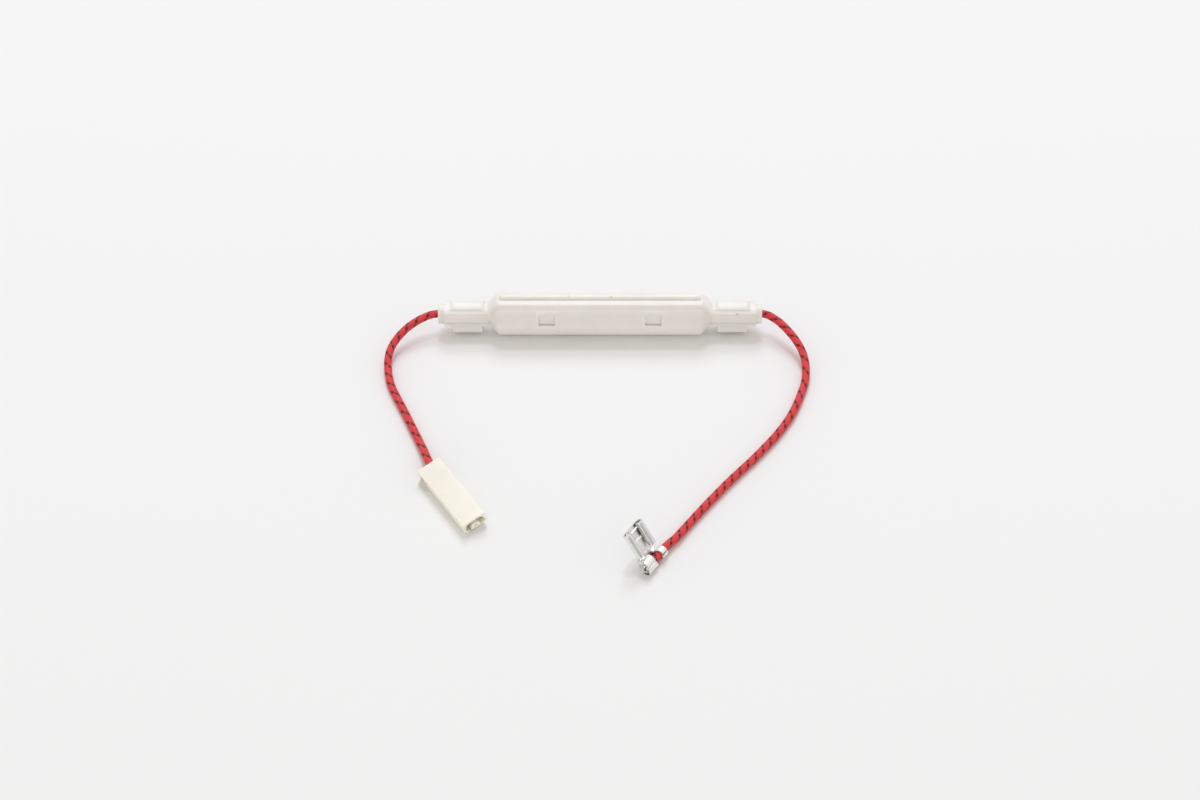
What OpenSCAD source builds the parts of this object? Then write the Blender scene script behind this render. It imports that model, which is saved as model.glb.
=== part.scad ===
// High voltage fuse: a glass tube fuse in a snap-together case. The left lead ends in a
// housed receptacle and the right lead in a bare flag receptacle.
// Sizes are millimetres. +X runs along the case and +Z is up. The origin lies under the
// middle of the case, on the surface that the case stands on.

/* [Case body] */
// Room inside the body between a contact and the end wall
end_room = 1.2; // [0.3:0.1:5]
// Outside radius of the round body
body_r = 6.4; // [6.2:0.1:7]
// Wall of both shells
shell_wall = 1.1; // [0.9:0.05:1.2]
// Width of the flat strips along the top and the bottom, and of the necks
strip_w = 6.7; // [6:0.1:7.4]
// How far the strips' faces lie outside the round body
strip_rise = 0.15; // [0.1:0.05:0.6]
// Width of the raised rib along the top strip
rib_w = 1.1; // [0.8:0.1:1.8]
// Height of the raised rib along the top strip
rib_h = 1.1; // [0.6:0.1:1.6]
// Thickness of the wall at each end of the body's hollow
end_wall = 0.9; // [0.8:0.1:1.5]
// Distance of the parting plane below the case's axis
parting_drop = 0.95; // [0.6:0.05:1.1]
// Height of the lip that locates the cover on the base
lip_h = 1.5; // [1:0.1:1.6]
// Thickness of the lip
lip_t = 0.5; // [0.4:0.05:0.6]

/* [Case ends] */
// Length of the sloped shoulder between the body and a neck
shoulder_len = 4; // [3:0.5:6]
// Length of a square neck
neck_len = 13; // [11:0.2:15]
// Height of a neck's top above the axis
neck_h = 3.5; // [3.2:0.1:4.2]
// Depth of a neck's underside below the axis
neck_floor = 2.7; // [2.5:0.1:3.2]
// Depth of the keel under a neck's underside
keel_h = 2.05; // [1:0.05:2.6]
// Length of the keel
keel_len = 9.4; // [6:0.1:9.7]
// Distance from a neck's start to its keel
keel_gap = 1.2; // [0.5:0.1:1.4]
// Width of the low rib on top of a neck
neck_rib_w = 2.8; // [1.6:0.2:4]
// Height of the low rib on top of a neck
neck_rib_h = 0.95; // [0.4:0.05:1.4]
// Length of the low rib on top of a neck
neck_rib_len = 10; // [7:0.5:10.5]
// Diameter of the round collar where a lead comes out
collar_d = 6.2; // [5:0.1:6.6]
// Length of the round collar
collar_len = 1.8; // [1.2:0.1:4]
// Thickness of the web inside a neck that grips the lead
grip_t = 1.2; // [0.8:0.1:2]

/* [Latches] */
// Distance of each latch from the middle of the case
latch_x = 16.3; // [15:0.1:16.4]
// Width of a latch window
window_w = 5; // [4:0.1:5]
// Height of a latch window
window_h = 3.15; // [2.8:0.05:3.4]
// Height of a window's lower edge above the axis
window_z = 0.67; // [0.66:0.01:0.9]
// Width of the raised frame around a window
frame_w = 0.9; // [0.5:0.1:1.2]
// How far the frame stands out of the body
frame_rise = 0.35; // [0.2:0.05:0.6]
// Thickness of a hook's tongue
tongue_t = 0.6; // [0.5:0.05:0.8]
// How far a hook's barb reaches into the window
barb_reach = 0.85; // [0.5:0.05:1]

/* [Fuse] */
// Length of the fuse over its end caps
fuse_len = 40; // [39.4:0.1:41]
// Outside diameter of an end cap
cap_d = 6; // [5.8:0.1:6.3]
// Length of an end cap
cap_len = 6; // [5:0.5:7]
// Wall of an end cap
cap_wall = 0.28; // [0.2:0.02:0.4]
// Wall of the glass tube
glass_wall = 0.8; // [0.6:0.05:1]
// Diameter of the fusible wire
element_d = 0.3; // [0.2:0.05:0.6]
// Outside diameter of the pulling spring
spring_d = 2.8; // [2:0.1:3.2]
// Wire diameter of the pulling spring
spring_wire = 0.4; // [0.3:0.05:0.5]
// Number of turns of the pulling spring
spring_turns = 9; // [6:1:12]
// Where the fusible wire joins the spring, measured from the middle
link_x = -3; // [-8:0.5:4]

/* [Contacts] */
// Wall of the cup that holds an end cap, and of its crimps
contact_wall = 0.35; // [0.25:0.05:0.4]
// Depth of the cup
cup_depth = 6.5; // [5.5:0.5:7.5]
// Length of a wire crimp
wire_crimp_len = 3.8; // [3:0.2:4]
// Length of an insulation crimp
grip_crimp_len = 2.2; // [1.6:0.2:2.4]
// Diameter of the stranded conductor
conductor_d = 1.5; // [1.1:0.1:1.7]

/* [Leads] */
// Outside diameter of a lead's braided sleeve
lead_d = 2.4; // [1.8:0.1:2.4]

/* [Housing] */
// Length of the receptacle's housing
housing_len = 25; // [25:0.5:29]
// Width of the housing
housing_w = 7.4; // [7.1:0.1:9]
// Thickness of the housing
housing_t = 4; // [3.8:0.1:5]
// Width of the housing's cavity
cavity_w = 6; // [6:0.1:6.4]
// Height of the housing's cavity
cavity_h = 2.6; // [2.5:0.05:2.9]
// Height of the wider cavity behind, where the lead comes in
entry_h = 3.3; // [3.2:0.05:3.4]
// Thickness of the wall around the mouth
mouth_wall = 1.6; // [1:0.1:1.8]
// Width of the bump on the mouth's floor
bump_w = 2.9; // [1.6:0.1:3.2]
// Height of the bump on the mouth's floor
bump_h = 1.2; // [0.8:0.1:1.2]
// Width of the tab that the housed receptacle takes
small_tab_w = 4.75; // [4.75:0.05:4.8]
// Width of the housed receptacle
small_w = 5.8; // [5.4:0.1:5.9]
// Thickness of the housed receptacle over its rolled edges
small_t = 2.2; // [2:0.1:2.3]
// Length of the housed receptacle's rolled part
small_len = 8; // [6:0.5:8]
// Sheet thickness of the housed receptacle
small_sheet = 0.3; // [0.25:0.05:0.35]

/* [Flag receptacle] */
// Width of the flag receptacle
flag_w = 8; // [7.4:0.1:9]
// Thickness over its rolled edges
flag_t = 2.3; // [2.2:0.1:3]
// Length of the rolled part, mouth to back
flag_len = 7.8; // [6.5:0.1:8.5]
// Sheet thickness
flag_sheet = 0.4; // [0.3:0.05:0.45]
// Outside diameter of its two crimps
flag_crimp_d = 3.4; // [3.3:0.1:4]
// Distance from the crimps' axis to the back of the rolled part
flag_back = 3.7; // [3.4:0.1:6]
// Length of the wire crimp
flag_wire_len = 3.8; // [3.6:0.2:4.8]
// How much wider than deep the wire crimp is
flag_wire_wide = 0.9; // [0.1:0.1:1.2]
// Length of the insulation crimp
flag_grip_len = 2.2; // [1.6:0.1:3]

/* [Hidden] */

// Running and seating clearances
fit_gap = 0.05;
slide_gap = 0.1;
lead_gap = 0.15;
// Overlap that joins two solids of one piece, and how far a cut runs past a face
weld = 0.1;
past = 1;
// Least difference that keeps two faces from lying in one plane
skin = 0.001;
round_fn = 64;
small_fn = 32;

// Fuse: the caps sit over the ends of the glass
fuse_x = fuse_len / 2;
cap_end_t = 0.3;
cap_gap = 0.03;
glass_d = cap_d - 2 * cap_wall - 2 * cap_gap;
glass_x = fuse_x - cap_end_t - fit_gap;
solder_r = 1.2;
solder_h = 0.9;
link_r = 0.55;
link_len = 1.4;
inside_x = fuse_x - cap_end_t;

// Contacts: a cup round the end cap, a neck, a wire crimp and an insulation crimp. The strands
// reach a little past the wire crimp, and the sleeve a little past the insulation crimp.
lead_r = lead_d / 2;
cup_r = cap_d / 2 + fit_gap + contact_wall;
cup_end = fuse_x + slide_gap;
wire_crimp_r = conductor_d / 2 + fit_gap + contact_wall;
grip_crimp_r = lead_r + slide_gap + contact_wall;
contact_neck = 1.1;
strand_tail = 0.4;
strip_tail = 0.85;
sleeve_tail = 0.5;
wire_crimp_x = cup_end + contact_wall + contact_neck;
strand_x = wire_crimp_x - strand_tail;
lead_start = wire_crimp_x + wire_crimp_len + strip_tail;
grip_crimp_x = lead_start + sleeve_tail;
contact_end = grip_crimp_x + grip_crimp_len;

// The body is as long as the fuse and its contacts need. Case heights are measured from
// its axis, which lies this far above the surface.
hollow_x = contact_end + end_room;
body_x = hollow_x + end_wall;
strip_h = body_r + strip_rise;
axis_z = strip_h;
hollow_r = body_r - shell_wall;
parting = -parting_drop;
neck_x = body_x + shoulder_len;
neck_end = neck_x + neck_len;
case_x = neck_end + collar_len;
neck_inner_w = strip_w - 2 * shell_wall;
neck_rib_gap = 0.8;
keel_x = neck_x + keel_gap;
keel_end = keel_x + keel_len;
neck_rib_x = neck_x + neck_rib_gap;
// The lower shoulder drops in two slopes, the first one steep
heel_x = body_x + 0.3 * shoulder_len;
heel_drop = 1.2;
heel_end = body_x + 0.6 * shoulder_len;
shoulder_steps = 7;
rise_steps = 6;
shoulder_inner_r = strip_w / 2 - fit_gap;
shoulder_lead_in = 0.5;

// Two webs in each neck grip the lead, and the end wall does it a third time
grip_gap = 2.8;
grip_x = neck_x + grip_gap;
neck_hollow_end = neck_end - shell_wall;
grip_r = lead_r + fit_gap;
collar_bore_r = lead_r + lead_gap;

// Latches
frame_y = body_r * 0.62;
hook_side_gap = 0.2;
hook_top_gap = 0.4;
hook_foot = body_r * 0.3;
barb_gap = 0.08;
hook_w = window_w - 2 * hook_side_gap;
tongue_r = hollow_r - slide_gap;
hook_inner_y = tongue_r - tongue_t - slide_gap;
hook_top = window_z + window_h - hook_top_gap;
barb_z = window_z + barb_gap;
barb_h = window_h * 0.65;
barb_nose = 0.4;

// Saddle ribs in both shells: one pair carries the glass, the other the cups
saddle_t = 1;
saddle_gap = 0.9;
glass_saddle_x = cup_end - cup_depth - saddle_t / 2 - saddle_gap;
cup_saddle_x = cup_end - saddle_t / 2 - slide_gap;

// Where the housing lies: its middle, its heading, and its roll onto one lower edge
housing_at = [-41.7, -71.7];
housing_heading = -56;
housing_roll = 12;
edge_r = 0.4;
housing_z = (housing_w / 2 - edge_r) * sin(housing_roll)
    + (housing_t / 2 - edge_r) * cos(housing_roll) + edge_r;
housing_x = housing_len / 2;
entry_x = -5.4;
small_mouth_gap = 0.5;
small_neck_len = 2.8;
small_step_len = 1.8;
small_mouth_x = housing_x - mouth_wall - small_mouth_gap;
small_back_x = small_mouth_x - small_len;
small_wire_len = 3.8;
small_wire_x = small_back_x - small_neck_len - small_wire_len;
small_grip_len = 2.2;
small_grip_x = small_wire_x - small_step_len - small_grip_len;
small_floor = cavity_h / 2 - slide_gap;
small_lead_end = small_grip_x + small_grip_len - slide_gap;
// How far strands show past an outer wire crimp
strand_show = 0.5;

// Where the flag receptacle lies: the middle of its crimps, its heading and its lean
flag_at = [14.8, -94.7];
flag_heading = 56.5;
flag_lean = 36;
flag_crimp_r = flag_crimp_d / 2;
flag_wire_x = -4.5;
flag_grip_x = 2.3;
flag_lead_end = -0.5;
flag_mouth = flag_back + flag_len;
// The curled wings leave a bore on the floor's side of the wire crimp
flag_bore_r = 0.95;
flag_bore_y = flag_crimp_r - flag_sheet - flag_bore_r;

// Route points of the two leads, from the contact inside the case to the outer crimp
left_route = [
    [-26.3, 0, 6.55], [-31.5, 0, 6.55], [-37, 0, 6.55], [-43, 0, 6.55], [-50.2, 0, 6.55],
    [-54.2, -1.4, 6.3], [-58.5, -4.3, 5.4], [-61.8, -8, 4.2], [-63.9, -12.4, 3.1],
    [-64.4, -17.1, 2.1], [-63.8, -21.8, 1.4], [-62.6, -26.4, 1.2], [-60.7, -31, 1.2],
    [-58.6, -35.6, 1.2], [-56.6, -40.1, 1.2], [-54.6, -44.7, 1.2], [-52.7, -49.2, 1.3],
    [-50.9, -53.6, 1.7], [-49.5, -57.6, 2.4], [-48.1, -60.9, 2.65], [-46.4, -64.7, 2.65],
    [-45.1, -66.6, 2.65]
];
right_route = [
    [26.3, 0, 6.55], [31.5, 0, 6.55], [37, 0, 6.55], [43, 0, 6.55], [50.2, 0, 6.55],
    [54, -2.1, 6.2], [57.3, -5.8, 5.4], [60.1, -10.1, 4.3], [61.9, -14.8, 3.1],
    [62.3, -19.7, 2.1], [61.7, -24.6, 1.4], [60.2, -29.4, 1.2], [58.4, -34.3, 1.2],
    [56.2, -39.2, 1.2], [53.5, -43.9, 1.2], [50.5, -48.4, 1.2], [47.2, -52.7, 1.2],
    [43.9, -56.9, 1.2], [40.3, -61.1, 1.2], [36.7, -65.4, 1.2], [33.3, -69.7, 1.2],
    [30, -74, 1.2], [26.8, -78.3, 1.2], [23.8, -82.5, 1.3], [20.9, -86.6, 1.5],
    [18, -89.9, 1.7], [14.6, -95, 1.7]
];
lead_sides = 8;

function unit(v) = v / norm(v);
// Direction of a route at one of its points: along the chord of the points beside it
function heading(route, i) =
    unit(route[min(i + 1, len(route) - 1)] - route[max(i - 1, 0)]);
// One ring of points round a route point, square to the route
function ring(route, i, r, sides) =
    let (t = heading(route, i), side = unit(cross([0, 0, 1], t)), up = cross(t, side))
    [for (k = [0:sides - 1]) let (a = 360 * (k + 0.5) / sides)
        route[i] + r * (cos(a) * side + sin(a) * up)];
// Side faces of a swept tube, two triangles to each panel
function tube_faces(rings, sides) = concat(
    [[for (k = [0:sides - 1]) k]],
    [[for (k = [sides - 1:-1:0]) (rings - 1) * sides + k]],
    [for (i = [0:rings - 2], k = [0:sides - 1])
        let (a = i * sides + k, b = i * sides + (k + 1) % sides) [a, a + sides, b]],
    [for (i = [0:rings - 2], k = [0:sides - 1])
        let (a = i * sides + k, b = i * sides + (k + 1) % sides) [b, a + sides, b + sides]]
);

// A tube swept along a list of points
module sweep(route, r, sides) {
    polyhedron(
        points = [for (i = [0:len(route) - 1]) each ring(route, i, r, sides)],
        faces = tube_faces(len(route), sides)
    );
}

// Solid round bar along X
module bar(x0, x1, r, fn = round_fn) {
    translate([x0, 0, 0]) rotate([0, 90, 0]) cylinder(r = r, h = x1 - x0, $fn = fn);
}

// Round tube along X
module pipe(x0, x1, r, bore, fn = round_fn) {
    difference() {
        bar(x0, x1, r, fn);
        bar(x0 - past, x1 + past, bore, fn);
    }
}

// Box between two X values and two Z values, centred on Y
module slab(x0, x1, w, z0, z1) {
    translate([x0, -w / 2, z0]) cube([x1 - x0, w, z1 - z0]);
}

module both_ends() {
    children();
    mirror([1, 0, 0]) children();
}

module both_sides() {
    children();
    mirror([0, 1, 0]) children();
}

module on_axis() {
    translate([0, 0, axis_z]) children();
}

// A bore for something laid in from below: round above its axis and straight under it
module laid_in_bore(x0, x1, r) {
    bar(x0, x1, r);
    slab(x0, x1, 2 * r, parting - past, 0);
}

// Side outline of one half of the case, from its middle to the end of the neck. The top
// falls along half a cosine wave.
function spine_outline() = [
    [0, strip_h],
    for (i = [0:rise_steps]) let (t = i / rise_steps)
        [body_x + t * shoulder_len, neck_h + (strip_h - neck_h) * (1 + cos(180 * t)) / 2],
    [neck_end, neck_h],
    [neck_end, -neck_floor], [heel_end, -neck_floor],
    [heel_x, -neck_floor - heel_drop], [body_x, -strip_h], [0, -strip_h]
];

// Radius of the round shoulder falls along half a cosine wave
function shoulder_point(i) =
    let (t = i / shoulder_steps)
    [
        shoulder_inner_r + (body_r - shoulder_inner_r) * (1 + cos(180 * t)) / 2,
        body_x - shoulder_lead_in + t * shoulder_len
    ];

module case_body_round() {
    bar(-body_x + shoulder_lead_in, body_x - shoulder_lead_in, body_r);
    both_ends() rotate([0, 90, 0]) rotate([0, 0, 180]) rotate_extrude($fn = round_fn) polygon(concat(
        [[0, body_x - shoulder_lead_in - past], [body_r, body_x - shoulder_lead_in - past]],
        [for (i = [0:shoulder_steps]) shoulder_point(i)],
        [[0, body_x - shoulder_lead_in + shoulder_len]]
    ));
}

// Two walls and two ends, open below, under each neck
module keel() {
    difference() {
        slab(keel_x, keel_end, strip_w, -neck_floor - keel_h, -neck_floor + weld);
        slab(keel_x + shell_wall, keel_end - shell_wall, neck_inner_w,
            -neck_floor - keel_h - past, -neck_floor);
    }
}

module top_rib() {
    rotate([90, 0, 0]) linear_extrude(height = rib_w, center = true) polygon([
        [-body_x, strip_h - weld], [-body_x + rib_h / 2, strip_h + rib_h],
        [body_x - rib_h / 2, strip_h + rib_h], [body_x, strip_h - weld]
    ]);
}

module latch_frame() {
    frame_x = window_w / 2 + frame_w;
    intersection() {
        bar(latch_x - frame_x, latch_x + frame_x, body_r + frame_rise);
        translate([latch_x - frame_x, frame_y, parting])
            cube([2 * frame_x, body_r, window_z + window_h + frame_w - parting]);
    }
}

module case_solid() {
    case_body_round();
    both_ends() {
        rotate([90, 0, 0]) linear_extrude(height = strip_w, center = true)
            polygon(spine_outline());
        keel();
        bar(neck_end - weld, case_x, collar_d / 2);
        slab(neck_rib_x, neck_rib_x + neck_rib_len, neck_rib_w, neck_h - weld,
            neck_h + neck_rib_h);
    }
    top_rib();
}

// Hollow of the body and of the necks, which leaves the grip webs and the end walls
module case_hollow() {
    bar(-hollow_x, hollow_x, hollow_r);
    both_ends() {
        slab(hollow_x + end_wall, grip_x, neck_inner_w, shell_wall - neck_floor,
            neck_h - shell_wall);
        slab(grip_x + grip_t, neck_hollow_end, neck_inner_w, shell_wall - neck_floor,
            neck_h - shell_wall);
    }
}

module half_space(side) {
    translate([-case_x - past, -2 * body_r, side > 0 ? parting : parting - 3 * body_r])
        cube([2 * case_x + 2 * past, 4 * body_r, 3 * body_r]);
}

// Discs across the hollow, cut out for what they carry
module saddle_discs() {
    both_ends() {
        bar(glass_saddle_x - saddle_t / 2, glass_saddle_x + saddle_t / 2, hollow_r + weld);
        bar(cup_saddle_x - saddle_t / 2, cup_saddle_x + saddle_t / 2, hollow_r + weld);
    }
}

// Everything that passes through the shells' webs
module seats() {
    both_ends() {
        laid_in_bore(glass_saddle_x - past, glass_saddle_x + past, glass_d / 2 + fit_gap);
        laid_in_bore(cup_saddle_x - saddle_t, cup_saddle_x + saddle_t, cup_r + fit_gap);
        laid_in_bore(hollow_x - past, neck_end, grip_r);
        laid_in_bore(neck_hollow_end - past, case_x + past, collar_bore_r);
    }
}

// The same, in the base, where each one only needs its round lower side
module lower_seats() {
    both_ends() {
        bar(glass_saddle_x - past, glass_saddle_x + past, glass_d / 2 + fit_gap);
        bar(cup_saddle_x - saddle_t, cup_saddle_x + saddle_t, cup_r + fit_gap);
        bar(hollow_x - past, neck_end, grip_r);
        bar(neck_hollow_end - past, case_x + past, collar_bore_r);
    }
}

module shell(side) {
    difference() {
        union() {
            difference() {
                union() {
                    intersection() {
                        case_solid();
                        half_space(side);
                    }
                    if (side > 0) both_ends() both_sides() latch_frame();
                }
                case_hollow();
            }
            intersection() {
                saddle_discs();
                half_space(side);
            }
        }
        if (side > 0) seats();
        else lower_seats();
    }
}

module windows() {
    both_ends() both_sides()
        translate([latch_x - window_w / 2, hook_inner_y, window_z])
            cube([window_w, 2 * body_r, window_h]);
}

// Room in the cover for the base's lip
module lip_room() {
    intersection() {
        pipe(-hollow_x, hollow_x, hollow_r + lip_t + fit_gap, hollow_r - fit_gap);
        slab(-hollow_x, hollow_x, 4 * body_r, parting - past, parting + lip_h + fit_gap);
    }
}

module lip() {
    intersection() {
        pipe(-hollow_x + slide_gap, hollow_x - slide_gap, hollow_r + lip_t, hollow_r);
        slab(-hollow_x, hollow_x, 4 * body_r, parting - weld, parting + lip_h);
    }
}

// A tongue that springs inside the cover's wall, with a barb in the window
module hook() {
    x0 = latch_x - hook_w / 2;
    intersection() {
        pipe(x0, x0 + hook_w, tongue_r, tongue_r - tongue_t);
        translate([x0, 0, parting - hook_foot])
            cube([hook_w, 2 * body_r, hook_top - parting + hook_foot]);
    }
    // Foot that joins the tongue to the base's wall and lip
    intersection() {
        pipe(x0, x0 + hook_w, hollow_r + weld, tongue_r - weld);
        translate([x0, 0, parting - hook_foot])
            cube([hook_w, 2 * body_r, lip_h + hook_foot]);
    }
    translate([x0, 0, 0]) rotate([90, 0, 90]) linear_extrude(height = hook_w) polygon([
        [tongue_r - tongue_t, barb_z], [tongue_r + barb_reach, barb_z],
        [tongue_r + barb_reach, barb_z + barb_nose], [tongue_r - tongue_t, barb_z + barb_h]
    ]);
}

module case_base() {
    color([0.95, 0.94, 0.92]) on_axis() {
        shell(-1);
        lip();
        both_ends() both_sides() hook();
    }
}

// Room in the cover's saddles for the base's hooks
module hook_room() {
    intersection() {
        bar(latch_x - hook_w / 2 - slide_gap, latch_x + hook_w / 2 + slide_gap, hollow_r);
        translate([0, hook_inner_y, -body_r]) cube([case_x, body_r, 2 * body_r]);
    }
}

module case_cover() {
    color([0.96, 0.95, 0.93]) on_axis() difference() {
        shell(1);
        windows();
        lip_room();
        both_ends() both_sides() hook_room();
    }
}

module glass_tube() {
    color([0.85, 0.9, 0.92]) on_axis()
        pipe(-glass_x, glass_x, glass_d / 2, glass_d / 2 - glass_wall);
}

module end_cap() {
    color([0.78, 0.79, 0.8]) on_axis() difference() {
        bar(fuse_x - cap_len, fuse_x, cap_d / 2);
        bar(fuse_x - cap_len - past, fuse_x - cap_end_t, cap_d / 2 - cap_wall);
    }
}

module left_end_cap() {
    mirror([1, 0, 0]) end_cap();
}

module right_end_cap() {
    end_cap();
}

module fusible_wire() {
    color([0.8, 0.75, 0.6]) on_axis()
        bar(-inside_x + solder_h, link_x - link_len / 2, element_d / 2, small_fn);
}

// Blob of solder on the inside of a cap, which holds the wire's end
module solder() {
    color([0.7, 0.71, 0.72]) on_axis() translate([inside_x - solder_h, 0, 0])
        rotate([0, 90, 0]) cylinder(r1 = solder_r / 2, r2 = solder_r, h = solder_h, $fn = small_fn);
}

module left_solder() {
    mirror([1, 0, 0]) solder();
}

module right_solder() {
    solder();
}

module link_bead() {
    color([0.72, 0.72, 0.7]) on_axis()
        bar(link_x - link_len / 2, link_x + link_len / 2, link_r, small_fn);
}

// Spring: a coil whose first and last half turns run in to the axis
spring_x0 = link_x + link_len / 2 + slide_gap;
spring_x1 = inside_x - solder_h - slide_gap;
spring_steps = 14;
spring_run = 0.12;
function spring_point(t) =
    let (
        a = 360 * spring_turns * t,
        r = (spring_d - spring_wire) / 2 * min(1, t / spring_run, (1 - t) / spring_run)
    )
    [spring_x0 + (spring_x1 - spring_x0) * t, r * cos(a), axis_z + r * sin(a)];

module pulling_spring() {
    count = spring_turns * spring_steps;
    color([0.6, 0.6, 0.62])
        sweep([for (i = [0:count]) spring_point(i / count)], spring_wire / 2, 6);
}

// Stamped contact of the right end: a cup, a neck and two crimps
module contact() {
    color([0.8, 0.8, 0.78]) on_axis() {
        difference() {
            bar(cup_end - cup_depth, cup_end + contact_wall, cup_r);
            bar(cup_end - cup_depth - past, cup_end, cap_d / 2 + fit_gap);
        }
        // Neck strip under both crimps
        slab(cup_end, wire_crimp_x + wire_crimp_len, wire_crimp_r, -wire_crimp_r,
            contact_wall - wire_crimp_r);
        slab(wire_crimp_x + wire_crimp_len - weld, grip_crimp_x + grip_crimp_len,
            wire_crimp_r, -grip_crimp_r, contact_wall - grip_crimp_r);
        slab(wire_crimp_x + wire_crimp_len - contact_wall, wire_crimp_x + wire_crimp_len,
            wire_crimp_r, -grip_crimp_r, contact_wall - wire_crimp_r);
        pipe(wire_crimp_x, wire_crimp_x + wire_crimp_len, wire_crimp_r,
            wire_crimp_r - contact_wall);
        pipe(grip_crimp_x, grip_crimp_x + grip_crimp_len, grip_crimp_r,
            grip_crimp_r - contact_wall);
    }
}

module left_contact() {
    mirror([1, 0, 0]) contact();
}

module right_contact() {
    contact();
}

// Bundle of nineteen strands along X: one, a ring of six and a ring of twelve
module strands(x0, x1, d) {
    strand_d = d / 5;
    strand_gap = 0.005;
    for (turn = [0:2], k = [0:max(0, 6 * turn - 1)]) {
        // Place on a hexagon's edge: its corner, and a step towards the next one
        corner = floor(k / max(1, turn)) * 60;
        step = turn == 0 ? 0 : k % turn;
        y = turn * cos(corner) + step * cos(corner + 120);
        z = turn * sin(corner) + step * sin(corner + 120);
        translate([0, y * strand_d, z * strand_d])
            bar(x0, x1, strand_d / 2 - strand_gap, 16);
    }
}

module inner_strands() {
    color([0.75, 0.45, 0.3]) on_axis() strands(strand_x, lead_start - fit_gap, conductor_d);
}

module left_inner_strands() {
    mirror([1, 0, 0]) inner_strands();
}

module right_inner_strands() {
    inner_strands();
}

module left_lead() {
    color([0.75, 0.08, 0.12]) sweep(left_route, lead_r, lead_sides);
}

module right_lead() {
    color([0.75, 0.08, 0.12]) sweep(right_route, lead_r, lead_sides);
}

module in_housing() {
    translate([housing_at.x, housing_at.y, housing_z])
        rotate([0, 0, housing_heading]) rotate([housing_roll, 0, 0]) children();
}

// Block with its four long edges and its mouth's edges rounded off
module housing_block() {
    rotate([0, 90, 0]) translate([0, 0, -housing_x]) linear_extrude(height = housing_len)
        for (a = [-1, 1], b = [-1, 1]) {
            translate([a * (housing_t / 2 - edge_r), b * (housing_w / 2 - edge_r)])
                circle(r = edge_r, $fn = small_fn);
            square([housing_t - 2 * edge_r, housing_w], center = true);
            square([housing_t, housing_w - 2 * edge_r], center = true);
        }
}

// Arch-shaped slot for the tab, round over a bump on the floor
module mouth_slot() {
    arch_r = cavity_h * 0.63;
    x0 = housing_x - mouth_wall - past;
    difference() {
        union() {
            slab(x0, housing_x + past, cavity_w, -cavity_h / 2, cavity_h / 2 - arch_r);
            slab(x0, housing_x + past, cavity_w - 2 * arch_r, -cavity_h / 2, cavity_h / 2);
            both_sides() translate([0, cavity_w / 2 - arch_r, cavity_h / 2 - arch_r])
                bar(x0, housing_x + past, arch_r, small_fn);
        }
        translate([0, 0, -cavity_h / 2]) {
            bar(x0 - past, housing_x + 2 * past, bump_w / 2, small_fn);
        }
    }
}

module connector_housing() {
    bump_drop = bump_w / 2 - bump_h;
    core_x = housing_x - mouth_wall * 0.7;
    core_z = -cavity_h / 2 + bump_h * 0.45 - bump_drop;
    core_r = 0.35;
    slot_x = -housing_x + 1.2;
    slot_len = 3.6;
    slot_top = entry_h / 2 - 0.2;
    lance_x = small_back_x - 0.5;
    lance_len = 3.5;
    lance_w = 2.2;
    color([0.93, 0.9, 0.8]) in_housing() difference() {
        housing_block();
        slab(-housing_x - past, housing_x - mouth_wall, cavity_w, -cavity_h / 2, cavity_h / 2);
        slab(-housing_x - past, entry_x, cavity_w, -entry_h / 2, entry_h / 2);
        mouth_slot();
        // Core hole in the bump
        translate([0, 0, core_z]) bar(core_x, housing_x + past, core_r, small_fn);
        // Side slots by the wire end, between the top and the bottom plate
        slab(slot_x, slot_x + slot_len, housing_w + past, -entry_h / 2, slot_top);
        // Window for the receptacle's lance in the underside
        slab(lance_x, lance_x + lance_len, lance_w, -housing_t, 0);
    }
}

// Section of a receptacle: a floor at y = 0 to sheet, and edges rolled up and in.
// The rolled edges end above the floor and leave a gap for the tab.
module rolled_section(w, t, sheet) {
    r = t / 2;
    cx = w / 2 - r;
    translate([-cx, 0]) square([2 * cx, sheet]);
    for (s = [-1, 1]) translate([s * cx, r]) difference() {
        circle(r = r, $fn = small_fn);
        circle(r = r - sheet, $fn = small_fn);
        translate([s > 0 ? -t : 0, -t]) square([t, t]);
    }
    for (s = [-1, 1]) translate([s * cx, r]) intersection() {
        difference() {
            circle(r = r, $fn = small_fn);
            circle(r = r - sheet, $fn = small_fn);
        }
        translate([s > 0 ? 0 : -t, -t]) square([t, t]);
    }
}

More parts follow.
